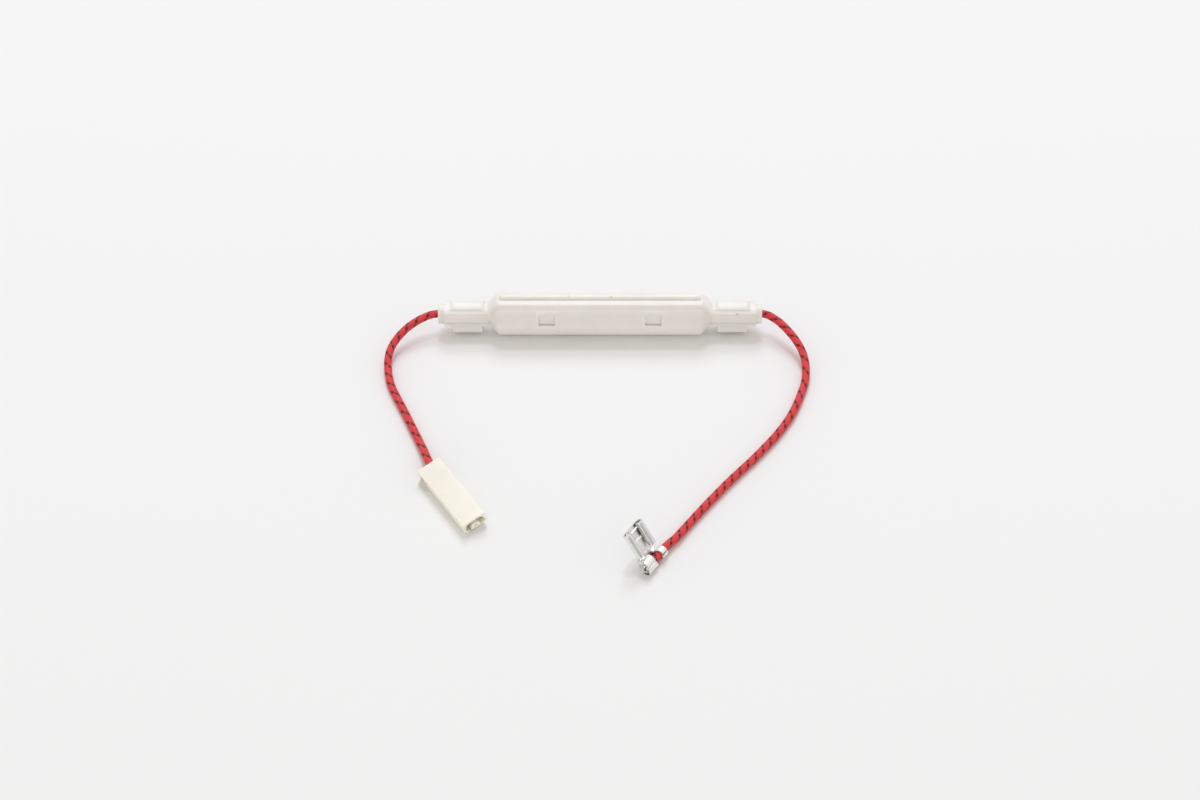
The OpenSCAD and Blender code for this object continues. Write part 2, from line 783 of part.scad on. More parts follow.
module receptacle() {
    wire_r = conductor_d / 2 + fit_gap + small_sheet;
    grip_r2 = entry_h / 2 - fit_gap;
    neck_w = 1.5;
    bridge_w = 0.8;
    lance_x = small_back_x + 2.5;
    lance_len = 2;
    lance_w = 1.6;
    color([0.8, 0.78, 0.72]) in_housing() {
        // Rolled part, its floor against the cavity's top
        difference() {
            translate([small_back_x, 0, small_floor]) rotate([90, 0, 90])
                mirror([0, 1, 0]) linear_extrude(height = small_len)
                    rolled_section(small_w, small_t, small_sheet);
            slab(lance_x, lance_x + lance_len, lance_w, small_floor - 2 * small_sheet,
                small_floor + past);
        }
        // Neck strip, with a small step down to the crimps
        slab(small_wire_x, small_back_x + weld, neck_w, small_floor - small_sheet, small_floor);
        pipe(small_wire_x, small_wire_x + small_wire_len, wire_r, wire_r - small_sheet);
        slab(small_wire_x, small_wire_x + small_wire_len, bridge_w, wire_r - small_sheet,
            small_floor);
        slab(small_grip_x + small_grip_len, small_wire_x + weld, neck_w,
            small_floor - small_sheet, small_floor);
        slab(small_grip_x + small_grip_len - weld, small_grip_x + small_grip_len + small_sheet,
            neck_w, lead_r + slide_gap + fit_gap, grip_r2 - fit_gap);
        slab(small_grip_x + small_grip_len, small_grip_x + small_grip_len + small_sheet,
            neck_w, small_floor - small_sheet, grip_r2 - fit_gap);
        pipe(small_grip_x, small_grip_x + small_grip_len, grip_r2, lead_r + slide_gap);
    }
}

module left_outer_strands() {
    color([0.75, 0.45, 0.3]) in_housing()
        strands(small_lead_end + slide_gap, small_wire_x + small_wire_len + strand_show,
            conductor_d);
}

module in_flag() {
    translate([flag_at.x, flag_at.y, flag_crimp_r])
        rotate([0, 0, flag_heading]) rotate([-flag_lean, 0, 0]) children();
}

// Bar whose section is drawn out towards the flag's neck
module wide_bar(x0, x1, r) {
    for (z = [0, flag_wire_wide]) translate([0, 0, z]) bar(x0, x1, r);
    translate([x0, -r, 0]) cube([x1 - x0, 2 * r, flag_wire_wide]);
}

module flag_receptacle() {
    floor_y = flag_crimp_r - flag_sheet;
    mark_w = 0.35;
    mark_deep = 0.1;
    neck_x0 = -3.4;
    neck_x1 = 3.6;
    notch_w = 0.5;
    notch_h = 0.5;
    notch_tip = 0.02;
    bridge_z = -0.4;
    bridge_rise = 1.4;
    mark_at = [0.3, 0.7];
    seam_w = 0.3;
    pilot_x = 0.1;
    pilot_z = 3.1;
    pilot_r = 0.4;
    flag_rib_z = [flag_mouth - 1.45, flag_mouth - 4.2];
    flag_rib_len = 4.4;
    flag_rib_r = 0.25;
    color([0.82, 0.83, 0.84]) in_flag() {
        difference() {
            union() {
                // Rolled part, open towards -Y
                translate([0, flag_crimp_r, flag_back]) mirror([0, 1, 0])
                    linear_extrude(height = flag_len)
                        rolled_section(flag_w, flag_t, flag_sheet);
                // Neck between the rolled part and the crimps
                translate([neck_x0, floor_y, 0])
                    cube([neck_x1 - neck_x0, flag_sheet, flag_back + weld]);
                translate([flag_wire_x, floor_y, bridge_z])
                    cube([flag_grip_x + flag_grip_len - flag_wire_x, flag_sheet, bridge_rise]);
            }
            // Pilot hole in the neck
            translate([pilot_x, floor_y - past, pilot_z]) rotate([-90, 0, 0])
                cylinder(r = pilot_r, h = flag_sheet + 2 * past, $fn = small_fn);
            bar(flag_wire_x - past, flag_grip_x + flag_grip_len + past,
                flag_crimp_r - flag_sheet - skin);
        }
        // Raised ribs across the floor, which press on the tab
        for (z = flag_rib_z) translate([-flag_rib_len / 2, floor_y, z])
            rotate([0, 90, 0]) cylinder(r = flag_rib_r, h = flag_rib_len, $fn = small_fn);
        difference() {
            wide_bar(flag_wire_x, flag_wire_x + flag_wire_len, flag_crimp_r);
            translate([0, flag_bore_y, 0])
                bar(flag_wire_x - past, flag_wire_x + flag_wire_len + past, flag_bore_r);
            // Two marks of the crimping tool, and the notch where the wings curl in
            for (x = mark_at * flag_wire_len) difference() {
                wide_bar(flag_wire_x + x, flag_wire_x + x + mark_w, flag_crimp_r + past);
                wide_bar(flag_wire_x + x - past, flag_wire_x + x + mark_w + past,
                    flag_crimp_r - mark_deep);
            }
            translate([flag_wire_x - past, 0, flag_wire_wide / 2]) rotate([90, 0, 90])
                linear_extrude(height = flag_wire_len + 2 * past) polygon([
                    [-flag_crimp_r - past, notch_w], [-flag_crimp_r - past, -notch_w],
                    [-flag_crimp_r + notch_h, -notch_tip], [-flag_crimp_r + notch_h, notch_tip]
                ]);
        }
        difference() {
            pipe(flag_grip_x, flag_grip_x + flag_grip_len, flag_crimp_r, lead_r + slide_gap);
            translate([flag_grip_x - past, -2 * flag_crimp_r, -seam_w / 2])
                cube([flag_grip_len + 2 * past, 2 * flag_crimp_r, seam_w]);
        }
    }
}

module right_outer_strands() {
    color([0.78, 0.76, 0.74]) in_flag() translate([0, flag_bore_y, 0])
        strands(flag_wire_x - strand_show, flag_lead_end - slide_gap,
            2 * (flag_bore_r - fit_gap));
}

case_base();
case_cover();
glass_tube();
left_end_cap();
right_end_cap();
fusible_wire();
pulling_spring();
link_bead();
left_solder();
right_solder();
left_contact();
right_contact();
left_inner_strands();
right_inner_strands();
left_lead();
right_lead();
connector_housing();
receptacle();
left_outer_strands();
flag_receptacle();
right_outer_strands();
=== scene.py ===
import math

import bmesh
import bpy
import numpy as np
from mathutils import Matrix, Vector


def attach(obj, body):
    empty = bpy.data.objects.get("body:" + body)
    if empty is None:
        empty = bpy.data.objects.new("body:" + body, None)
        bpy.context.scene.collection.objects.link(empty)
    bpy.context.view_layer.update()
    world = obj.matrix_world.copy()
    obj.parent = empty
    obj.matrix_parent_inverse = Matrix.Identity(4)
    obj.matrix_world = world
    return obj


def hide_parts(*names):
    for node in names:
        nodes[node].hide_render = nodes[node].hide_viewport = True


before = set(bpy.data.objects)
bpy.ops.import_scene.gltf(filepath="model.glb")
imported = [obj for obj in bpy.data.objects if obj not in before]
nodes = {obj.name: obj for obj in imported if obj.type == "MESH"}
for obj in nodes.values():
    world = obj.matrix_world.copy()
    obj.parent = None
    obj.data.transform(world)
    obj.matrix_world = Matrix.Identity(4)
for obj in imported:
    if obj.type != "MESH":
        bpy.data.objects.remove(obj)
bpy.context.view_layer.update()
mm = 0.001
print("frame loaded,", len(nodes), "nodes")


def addNode(tree, kind, **sockets):
    node = tree.nodes.new(kind)
    for key, value in sockets.items():
        if key in node.inputs:
            node.inputs[key].default_value = value
        else:
            setattr(node, key, value)
    return node


def startMaterial(name, colour, roughness, more={}):
    # more holds other sockets of the shader by name
    material = bpy.data.materials.new(name)
    material.use_nodes = True
    tree = material.node_tree
    shader = tree.nodes["Principled BSDF"]
    for key, value in {"Base Color": (*colour, 1), "Roughness": roughness, **more}.items():
        shader.inputs[key].default_value = value
    return material, tree, shader


def objectNoise(tree, scale, detail):
    # noise read on object coordinates, scale in features per metre
    place = addNode(tree, "ShaderNodeTexCoord")
    noise = addNode(tree, "ShaderNodeTexNoise", Scale=scale, Detail=detail, Roughness=0.55)
    tree.links.new(place.outputs["Object"], noise.inputs["Vector"])
    return noise.outputs["Fac"]


def rampBetween(tree, factor, low, high, start=0.3, end=0.7):
    ramp = addNode(tree, "ShaderNodeValToRGB")
    for stop, position, colour in zip(ramp.color_ramp.elements, (start, end), (low, high)):
        stop.position = position
        stop.color = (*colour, 1)
    tree.links.new(factor, ramp.inputs["Fac"])
    return ramp.outputs["Color"]


def addBump(tree, shader, height, distance, strength):
    bump = addNode(tree, "ShaderNodeBump", Distance=distance, Strength=strength)
    tree.links.new(height, bump.inputs["Height"])
    tree.links.new(bump.outputs["Normal"], shader.inputs["Normal"])


def rangeTo(tree, value, low, high, start=0.0, end=1.0):
    mapped = addNode(tree, "ShaderNodeMapRange", **{
        "From Min": start, "From Max": end, "To Min": low, "To Max": high})
    tree.links.new(value, mapped.inputs["Value"])
    return mapped.outputs["Result"]


def roughen(tree, shader, factor, low, high):
    tree.links.new(rangeTo(tree, factor, low, high), shader.inputs["Roughness"])


def maths(tree, operation, *values):
    # one Math node; each value is a number or another node's output
    node = addNode(tree, "ShaderNodeMath", operation=operation)
    for k, value in enumerate(values):
        if isinstance(value, (int, float)):
            node.inputs[k].default_value = value
        else:
            tree.links.new(value, node.inputs[k])
    return node.outputs[0]


def mixColours(tree, factor, first, second, blend="MIX"):
    node = addNode(tree, "ShaderNodeMix", data_type="RGBA", blend_type=blend)
    for socket, value in ((node.inputs["Factor"], factor), (node.inputs[6], first),
                          (node.inputs[7], second)):
        if isinstance(value, (int, float)):
            socket.default_value = value
        elif isinstance(value, tuple):
            socket.default_value = (*value, 1)
        else:
            tree.links.new(value, socket)
    return node.outputs[2]


def mixShaders(tree, factor, first, second):
    mix = addNode(tree, "ShaderNodeMixShader")
    for k, value in enumerate((factor, first, second)):
        tree.links.new(value, mix.inputs[k])
    return mix.outputs[0]


view = {
    "target": (0, -31.1 * mm, 0),
    "elevation": 45.0,
    "distance": 528 * mm,
    "lens": 53.0,
    "sensorWidth": 36.0,
    "clipStart": 0.01,
}


def placeCamera(settings):
    camera = bpy.data.objects.new("camera", bpy.data.cameras.new("camera"))
    bpy.context.scene.collection.objects.link(camera)
    tilt = math.radians(settings["elevation"])
    back = Vector((0, -math.cos(tilt), math.sin(tilt)))
    camera.location = Vector(settings["target"]) + back * settings["distance"]
    camera.rotation_euler = (math.pi / 2 - tilt, 0, 0)
    camera.data.lens = settings["lens"]
    camera.data.sensor_width = settings["sensorWidth"]
    camera.data.clip_start = settings["clipStart"]
    bpy.context.scene.camera = camera


studio = {
    "fillLow": 0.84,        # light from all round, as strength of the world: at level and overhead
    "fillHigh": 0.64,
    "fillFront": 1.2,       # and how much of it comes from the camera's side and from the back
    "fillBack": 0.8,
    "fillColour": (1.0, 0.97, 0.92),    # a little warm; the lamps make up for it in full light
    "lampColour": (0.85, 0.906, 1.0),
    # a high soft lamp and a wide one behind the part: their shares of the light, in the same
    # measure, and their directions, distances and sizes
    "lamps": {
        "keyLamp": (0.165, (0, 0.39, 1.0), 3.0, 0.42),
        "backLamp": (0.215, (0, 0.85, 1.0), 3.0, 1.0),
    },
    "backdrop": 0.86,
    "mirroredTop": 1.0,     # the room that metal mirrors: overhead, level and by the camera
    "mirroredLevel": 0.72,
    "mirroredFront": 0.55,
    "mirroredRise": (0.05, 0.65),   # heights between which it brightens
    "mirroredTurn": (-0.85, -0.1),  # and how far to the front it dims
    "floorHalf": 4.0,
    "floorColour": (0.885, 0.885, 0.885),
}


def placeLamp(name, share, direction, distance, size, colour):
    # A square lamp of power P at distance d lights a level surface like a world of strength
    # P cos(tilt) / (pi^2 d^2), so P follows from the share.
    data = bpy.data.lights.new(name, "AREA")
    data.size = size
    data.color = colour
    towards = Vector(direction).normalized()
    data.energy = share * math.pi**2 * distance**2 / towards.z
    lamp = bpy.data.objects.new(name, data)
    lamp.location = towards * distance
    lamp.rotation_euler = towards.to_track_quat("Z", "Y").to_euler()
    bpy.context.scene.collection.objects.link(lamp)


def makeWorld(settings):
    # Even light for matt surfaces and a pale wall for the camera; metal mirrors a room that is
    # bright overhead and dimmer near level and towards the front.
    world = bpy.data.worlds.new("studio")
    bpy.context.scene.world = world
    world.use_nodes = True
    tree = world.node_tree
    tree.nodes.clear()
    path = addNode(tree, "ShaderNodeLightPath")
    seen = maths(tree, "MAXIMUM", path.outputs["Is Camera Ray"], path.outputs["Is Transmission Ray"])
    place = addNode(tree, "ShaderNodeTexCoord")
    axes = addNode(tree, "ShaderNodeSeparateXYZ")
    tree.links.new(place.outputs["Generated"], axes.inputs[0])
    overhead = rangeTo(tree, axes.outputs["Z"], settings["mirroredLevel"], settings["mirroredTop"],
                       *settings["mirroredRise"])
    front = rangeTo(tree, axes.outputs["Y"], settings["mirroredFront"], 1.0,
                    *settings["mirroredTurn"])
    room = maths(tree, "MULTIPLY", overhead, front)
    fill = addNode(tree, "ShaderNodeBackground", Color=(*settings["fillColour"], 1))
    tree.links.new(
        maths(tree, "MULTIPLY",
              rangeTo(tree, axes.outputs["Z"], settings["fillLow"], settings["fillHigh"]),
              rangeTo(tree, axes.outputs["Y"], settings["fillFront"], settings["fillBack"], -1.0)),
        fill.inputs["Strength"])
    mirrored = addNode(tree, "ShaderNodeBackground", Color=(1, 1, 1, 1))
    tree.links.new(room, mirrored.inputs["Strength"])
    wall = addNode(tree, "ShaderNodeBackground", Color=(1, 1, 1, 1), Strength=settings["backdrop"])
    glossy = mixShaders(tree, path.outputs["Is Glossy Ray"], fill.outputs[0], mirrored.outputs[0])
    out = addNode(tree, "ShaderNodeOutputWorld")
    tree.links.new(mixShaders(tree, seen, glossy, wall.outputs[0]), out.inputs["Surface"])


def makeFloor(settings):
    mesh = bpy.data.meshes.new("floor")
    half = settings["floorHalf"]
    mesh.from_pydata([(-half, -half, 0), (half, -half, 0), (half, half, 0), (-half, half, 0)],
                     [], [(0, 1, 2, 3)])
    floor = bpy.data.objects.new("floor", mesh)
    bpy.context.scene.collection.objects.link(floor)
    mesh.materials.append(startMaterial("paleTable", settings["floorColour"], 0.9,
                                        {"Specular IOR Level": 0.0})[0])


placeCamera(view)
for name, lamp in studio["lamps"].items():
    placeLamp(name, *lamp, studio["lampColour"])
makeWorld(studio)
makeFloor(studio)
bpy.context.scene.view_settings.view_transform = "Standard"
print("camera, light and floor placed")


def gridFaces(rows, columns, closed):
    # quads between neighbouring rows and columns; closed joins the last column to the first
    span = columns if closed else columns - 1
    i, k = np.meshgrid(np.arange(rows - 1), np.arange(span), indexing="ij")
    nextK = (k + 1) % columns
    a, b = i * columns + k, i * columns + nextK
    return np.stack([a, b, b + columns, a + columns], axis=-1).reshape(-1, 4)


def gridOf(x, y, z):
    # points on rows and columns, from arrays that spread over both
    return np.stack(np.broadcast_arrays(x, y, z), axis=-1)


def tubeFaces(rows, columns):
    # a closed grid's faces, with one face over its first row and one over its last
    caps = [list(range(columns)), list(range((rows - 1) * columns, rows * columns))[::-1]]
    return gridFaces(rows, columns, True).tolist() + caps


def showMesh(name, mesh, material):
    mesh.shade_smooth()
    mesh.materials.clear()
    mesh.materials.append(material)
    piece = bpy.data.objects.new(name, mesh)
    bpy.context.scene.collection.objects.link(piece)
    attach(piece, "root")
    return piece


def meshPiece(name, points, faces, material, flip=False):
    if flip:
        faces = [face[::-1] for face in faces]
    mesh = bpy.data.meshes.new(name)
    mesh.from_pydata(points, [], faces)
    return showMesh(name, mesh, material)


def gather(shapes):
    # the points and faces of several shapes together; faces may have unlike numbers of corners
    points, faces, start = [], [], 0
    for part, partFaces in shapes:
        points.append(part)
        faces += [[start + v for v in face] for face in np.asarray(partFaces, object).tolist()]
        start += len(part)
    return np.concatenate(points), faces


def turnOutwards(piece, merge=0.0):
    # joins points closer than merge and works the faces' directions out again
    work = bmesh.new()
    work.from_mesh(piece.data)
    if merge:
        bmesh.ops.remove_doubles(work, verts=work.verts, dist=merge)
    bmesh.ops.recalc_face_normals(work, faces=work.faces)
    work.to_mesh(piece.data)
    work.free()


def thicken(piece, thickness, offset):
    wall = piece.modifiers.new("wall", "SOLIDIFY")
    wall.thickness = thickness * mm
    wall.offset = offset


def soften(piece, width, segments, angle=35, harden=True):
    soft = piece.modifiers.new("softEdges", "BEVEL")
    soft.width = width * mm
    soft.segments = segments
    soft.limit_method = "ANGLE"
    soft.angle_limit = math.radians(angle)
    soft.harden_normals = harden


# the two leads' routes in mm, from inside the case to their terminals
leftRoute = [
    (-26.3, 0, 6.55), (-31.5, 0, 6.55), (-37, 0, 6.55), (-43, 0, 6.55), (-50.2, 0, 6.55),
    (-54.2, -1.4, 6.3), (-58.5, -4.3, 5.4), (-61.8, -8, 4.2), (-63.9, -12.4, 3.1),
    (-64.4, -17.1, 2.1), (-63.8, -21.8, 1.4), (-62.6, -26.4, 1.2), (-60.7, -31, 1.2),
    (-58.6, -35.6, 1.2), (-56.6, -40.1, 1.2), (-54.6, -44.7, 1.2), (-52.7, -49.2, 1.3),
    (-50.9, -53.6, 1.7), (-49.5, -57.6, 2.4), (-48.1, -60.9, 2.65), (-46.4, -64.7, 2.65),
    (-45.1, -66.6, 2.65),
]
rightRoute = [
    (26.3, 0, 6.55), (31.5, 0, 6.55), (37, 0, 6.55), (43, 0, 6.55), (50.2, 0, 6.55),
    (54, -2.1, 6.2), (57.3, -5.8, 5.4), (60.1, -10.1, 4.3), (61.9, -14.8, 3.1),
    (62.3, -19.7, 2.1), (61.7, -24.6, 1.4), (60.2, -29.4, 1.2), (58.4, -34.3, 1.2),
    (56.2, -39.2, 1.2), (53.5, -43.9, 1.2), (50.5, -48.4, 1.2), (47.2, -52.7, 1.2),
    (43.9, -56.9, 1.2), (40.3, -61.1, 1.2), (36.7, -65.4, 1.2), (33.3, -69.7, 1.2),
    (30, -74, 1.2), (26.8, -78.3, 1.2), (23.8, -82.5, 1.3), (20.9, -86.6, 1.5),
    (18, -89.9, 1.7), (14.6, -95, 1.7),
]

braid = {
    "diameter": 2.4,
    "yarns": 12,           # yarns that run each way
    "tracerEvery": 6,      # one yarn in so many of the first family is dark
    "markSize": (0.95, 1.6),    # half-sizes of its marks in yarns, across and along
    "markRim": (0.7, 1.25),     # reach over which a mark fades
    "lineWidth": 0.8,      # width in yarns and strength of the line where the tracer dives
    "tracerDim": 0.45,
    "relief": 0.05,
    "fibres": 5,           # fibres seen side by side in a yarn
    "ringSpacing": 0.1,
    "sides": 60,
    # turns that a yarn has made at lengths along each lead in mm: the braid is laid tighter in
    # some stretches than in others
    "leftTurns": [(0, -3.63), (26.7, -0.195), (35, 0.84), (45.5, 2.177), (61.3, 4.119),
                  (70.6, 5.144), (80, 6.12), (90.8, 7.16), (102, 8.27)],
    "rightTurns": [(0, -4.086), (28.7, -0.357), (40.6, 1.16), (49, 2.09), (54.7, 2.675),
                   (63, 3.56), (73.7, 4.745), (82.1, 5.75), (130.9, 12.27), (140, 13.48)],
    # and how many yarns the second family is ahead there, because the leads are twisted
    "leftAhead": [(0, 3.95), (46, 3.95), (64, 5.5)],
    "rightAhead": [(0, 0.8), (40, 0.8), (50, 1.1), (62, -0.1), (140, -0.2)],
    "red": (0.88, 0.055, 0.062),
    "redWorn": (0.78, 0.042, 0.05),
    "paintedGrooveShade": (0.5, 0.42, 0.42),    # painted shade: what the red is multiplied by between yarns
    "tracer": (0.11, 0.006, 0.01),
    "bumpShares": (0.6, 0.12, 0.25),    # of the yarns, their fibres and fuzz
    "bumpDepth": 0.06,
    "roughness": (0.4, 0.6),
    "shine": {"Specular IOR Level": 0.35, "Sheen Weight": 0.06, "Sheen Roughness": 0.4},
}


def smoothRoute(route, spacing):
    # Catmull-Rom through the points a b c d, between b and c:
    # p(t) = (2b + (c - a) t + (2a - 5b + 4c - d) t^2 + (3b - a - 3c + d) t^3) / 2
    p = np.array(route, float)
    p = np.vstack([2 * p[0] - p[1], p, 2 * p[-1] - p[-2]])
    t = np.linspace(0, 1, 32, endpoint=False)[None, :, None]
    a, b, c, d = p[:-3, None], p[1:-2, None], p[2:-1, None], p[3:, None]
    curve = (2 * b + (c - a) * t + (2 * a - 5 * b + 4 * c - d) * t**2
             + (3 * b - a - 3 * c + d) * t**3) / 2
    curve = np.vstack([curve.reshape(-1, 3), p[-2]])
    along = np.concatenate([[0], np.cumsum(np.linalg.norm(np.diff(curve, axis=0), axis=1))])
    even = np.linspace(0, along[-1], int(round(along[-1] / spacing)) + 1)
    return np.stack([np.interp(even, along, curve[:, k]) for k in range(3)], axis=1), even


def braidHeight(p, q):
    # Whole numbers of p and q count the yarns of the two families. Each yarn floats over two
    # of the other family and dives under two, so p's is on top where floor(p) + floor(q) leaves
    # 0 or 1 over 4. Its height is sqrt(1 - (2 frac - 1)^2) across, times the root of half a
    # sine wave along the float.
    first = (np.floor(p) + np.floor(q)) % 4 < 2
    across = np.where(first, p, q) % 1
    along = np.where(first, (np.floor(p) + q) % 4, (p + np.floor(q)) % 4 - 2) / 2
    roundness = np.sqrt(np.clip(1 - (2 * across - 1) ** 2, 0, 1))
    return roundness * np.sqrt(np.clip(np.sin(np.pi * along), 0, 1))


def makeLead(name, route, material, settings, turns, ahead):
    # A tube carried along the route. Where the yarns lie is written to the UV map "braid":
    # p = n (T + turn) + 1/2 and q = n (T - turn) + ahead + 1/2, with T the turns made at this
    # length of the lead and a hundred more, which keep both above zero.
    centre, along = smoothRoute(route, settings["ringSpacing"])
    tangent = np.gradient(centre, axis=0)
    tangent /= np.linalg.norm(tangent, axis=1, keepdims=True)
    left = np.cross([0, 0, 1], tangent)
    left /= np.linalg.norm(left, axis=1, keepdims=True)
    up = np.cross(tangent, left)
    sides, n = settings["sides"], settings["yarns"]
    angle = 2 * np.pi * np.arange(sides) / sides
    shiftP = n * np.interp(along, *np.array(turns).T)[:, None] + 100 * n + 0.5
    shiftQ = shiftP + np.interp(along, *np.array(ahead).T)[:, None]
    p = shiftP + n * np.arange(sides)[None, :] / sides
    q = shiftQ - n * np.arange(sides)[None, :] / sides
    radius = settings["diameter"] / 2 - settings["relief"] * (1 - braidHeight(p, q))
    grid = centre[:, None] + radius[..., None] * (
        np.cos(angle)[None, :, None] * left[:, None] + np.sin(angle)[None, :, None] * up[:, None])
    points = np.vstack([grid.reshape(-1, 3), centre[0], centre[-1]]) * mm
    quads = gridFaces(len(along), sides, True)
    first, last = len(points) - 2, len(points) - 1
    base = (len(along) - 1) * sides
    ring = np.arange(sides)
    startCap = np.stack([np.full(sides, first), (ring + 1) % sides, ring], axis=1)
    endCap = np.stack([np.full(sides, last), base + ring, base + (ring + 1) % sides], axis=1)
    piece = meshPiece(name, points.tolist(), quads.tolist() + startCap.tolist() + endCap.tolist(),
                      material)
    # each quad's corners in turn: its own column, the next one, and so on the next ring
    row, column = quads[:, 0] // sides, quads[:, 0] % sides
    corner = np.stack([row, row, row + 1, row + 1], axis=1)
    turned = np.stack([column, column + 1, column + 1, column], axis=1)
    cornerP = shiftP[corner, 0] + n * turned / sides
    cornerQ = shiftQ[corner, 0] - n * turned / sides
    layer = np.stack([cornerP, cornerQ], axis=-1).reshape(-1)
    # the ends are hidden, and take one place of the map
    capUV = np.tile([n * 0.5, n * 0.5], 6 * sides)
    piece.data.uv_layers.new(name="braid").data.foreach_set("uv", np.concatenate([layer, capUV]))
    return piece, centre * mm, along[-1] * mm


def makeBraidMaterial(settings):
    # The same two families of yarns as in braidHeight, worked out again from the UV map so that
    # each yarn, its fibres and the dark tracer keep their sharp edges.
    material, tree, shader = startMaterial("redBraid", settings["red"], 0.5, settings["shine"])

    def do(operation, *values):
        return maths(tree, operation, *values)

    uv = addNode(tree, "ShaderNodeUVMap", uv_map="braid")
    axes = addNode(tree, "ShaderNodeSeparateXYZ")
    tree.links.new(uv.outputs["UV"], axes.inputs[0])
    p, q = axes.outputs["X"], axes.outputs["Y"]
    floorP, floorQ = do("FLOOR", p), do("FLOOR", q)
    first = do("LESS_THAN", do("FLOORED_MODULO", do("ADD", floorP, floorQ), 4), 1.5)

    def choose(onTop, below):
        # onTop where the first family is on top, below elsewhere
        return do("ADD", below, do("MULTIPLY", first, do("SUBTRACT", onTop, below)))

    across = choose(do("FRACT", p), do("FRACT", q))
    along = choose(do("FLOORED_MODULO", do("ADD", floorP, q), 4),
                   do("SUBTRACT", do("FLOORED_MODULO", do("ADD", p, floorQ), 4), 2))
    fromMiddle = do("MULTIPLY_ADD", across, 2, -1)
    dome = do("SUBTRACT", 1, do("MULTIPLY", fromMiddle, fromMiddle))
    arch = do("SINE", do("MULTIPLY", along, math.pi / 2))
    height = do("SQRT", do("MULTIPLY", dome, do("MAXIMUM", arch, 0)))
    fibre = do("SINE", do("MULTIPLY", across, 2 * math.pi * settings["fibres"]))
    fuzz = objectNoise(tree, 9000, 2)
    ofYarns, ofFibres, ofFuzz = settings["bumpShares"]
    relief = do("ADD", do("MULTIPLY", height, ofYarns),
                do("ADD", do("MULTIPLY", fibre, ofFibres), do("MULTIPLY", fuzz, ofFuzz)))
    addBump(tree, shader, relief, settings["bumpDepth"] * mm, 0.8)
    worn = rampBetween(tree, objectNoise(tree, 260, 5), settings["redWorn"], settings["red"])
    # painted shade: the red darkens where the yarns are low, in the grooves between them
    shade = rampBetween(tree, height, settings["paintedGrooveShade"], (1, 1, 1), 0.1, 0.75)
    redWithGrooveShade = mixColours(tree, 1.0, worn, shade, "MULTIPLY")
    # With u yarns across and v along from the middle of a float of the tracer, it shows where
    # (u / a)^2 + (v / b)^2 is under 1, with a soft rim, and as a dim line exp(-(u / w)^2) where
    # it dives.
    every = settings["tracerEvery"]
    u = do("SUBTRACT", do("FLOORED_MODULO", do("ADD", p, every / 2 - 0.5), every), every / 2)
    passed = do("SUBTRACT", do("ADD", p, q), u)
    v = do("SUBTRACT", do("FLOORED_MODULO", do("ADD", passed, 0.5), 4), 2)
    a, b = settings["markSize"]
    reach = do("ADD", do("POWER", do("DIVIDE", u, a), 2), do("POWER", do("DIVIDE", v, b), 2))
    mark = rangeTo(tree, reach, 1.0, 0.0, *settings["markRim"])
    faded = do("EXPONENT", do("MULTIPLY", do("POWER", do("DIVIDE", u, settings["lineWidth"]), 2), -1))
    shown = do("MAXIMUM", mark, do("MULTIPLY", settings["tracerDim"], faded))
    tree.links.new(mixColours(tree, shown, redWithGrooveShade, settings["tracer"]), shader.inputs["Base Color"])
    roughen(tree, shader, objectNoise(tree, 900, 3), *settings["roughness"])
    return material


redBraid = makeBraidMaterial(braid)
leftLead, leftPath, leftLength = makeLead("leftLeadBraid", leftRoute, redBraid, braid,
                                          braid["leftTurns"], braid["leftAhead"])
rightLead, rightPath, rightLength = makeLead("rightLeadBraid", rightRoute, redBraid, braid,
                                             braid["rightTurns"], braid["rightAhead"])
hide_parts("left_lead")
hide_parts("right_lead")
print("leads laid:", round(leftLength, 4), round(rightLength, 4), "m")


# the case, in mm, with heights measured up and down from its axis
case = {
    "axisHeight": 6.55,
    "bodyRadius": 6.4,
    "bodyHalf": 31.0,
    "stripHalf": 3.35,      # half the width of the strips and necks
    "stripTop": 6.55,
    "crown": 0.5,           # how far the cover's strip is lower at its edges than in its middle
    "baseCrown": 0.1,
    "cornerPower": 11,
    "cornerBlend": 0.8,
    "shoulderX": (30.4, 35.6),
    "shoulderEnd": 2.4,     # radius at which the round shoulder ends, inside the neck
    "neckStart": 35.0,
    "neckEnd": 48.0,
    "neckTop": 3.5,
    "neckFloor": 2.7,
    "heelX": (32.2, 33.4),  # where the two slopes of the base's shoulder meet, and where they end
    "heelHeight": 3.9,
    "parting": -0.95,
    "wall": 1.1,
    "seam": 0.03,           # rounding of the edge where the shells meet
    "edge": 0.05,
    "windowX": (13.8, 18.8),
    "windowZ": (0.67, 3.82),
    "frameWidth": 0.9,
    "frameRise": 0.12,
    "frameFade": (0.5, 0.06),   # length in mm and angle over which the frame rises
    # the outline at a neck's end goes out and shrinks to close it
    "plate": ((0.0, 1.0), (0.09, 0.985), (0.12, 0.95), (0.12, 0.4)),
}
topRib = {
    "x": (-31.0, 31.0),
    "half": 1.0,
    "z": (6.45, 7.45),
    "power": 0.85,
    "taper": 0.7,
    "sunk": 0.3,
}
neckRib = {
    "x": (35.4, 46.2),
    "half": 2.3,
    "z": (3.3, 4.1),
    "power": 1.3,
    "taper": 1.3,
    "sunk": 0.3,
}
keel = {
    "middle": 40.9,
    "halfLength": 4.7,
    "top": -2.1,
    "foot": -4.75,
    "lip": 0.15,            # rounding of its lower edges
}
collar = {
    "x": (47.7, 49.8),
    "radius": 3.1,
    "bore": 1.3,
}
hook = {
    "middle": 16.3,
    "half": 2.49,
    "tongue": (4.55, 5.2),  # y of its inner and outer face
    "barb": 5.6,            # y of the barb's nose
    "foot": -0.9,
    "nose": (0.66, 1.1),    # heights between which the nose stands upright
    "slope": ((0.12, 2.0), (0.08, 3.76)),   # how far out the face above it lies, and at what height
    "edge": 0.06,
}


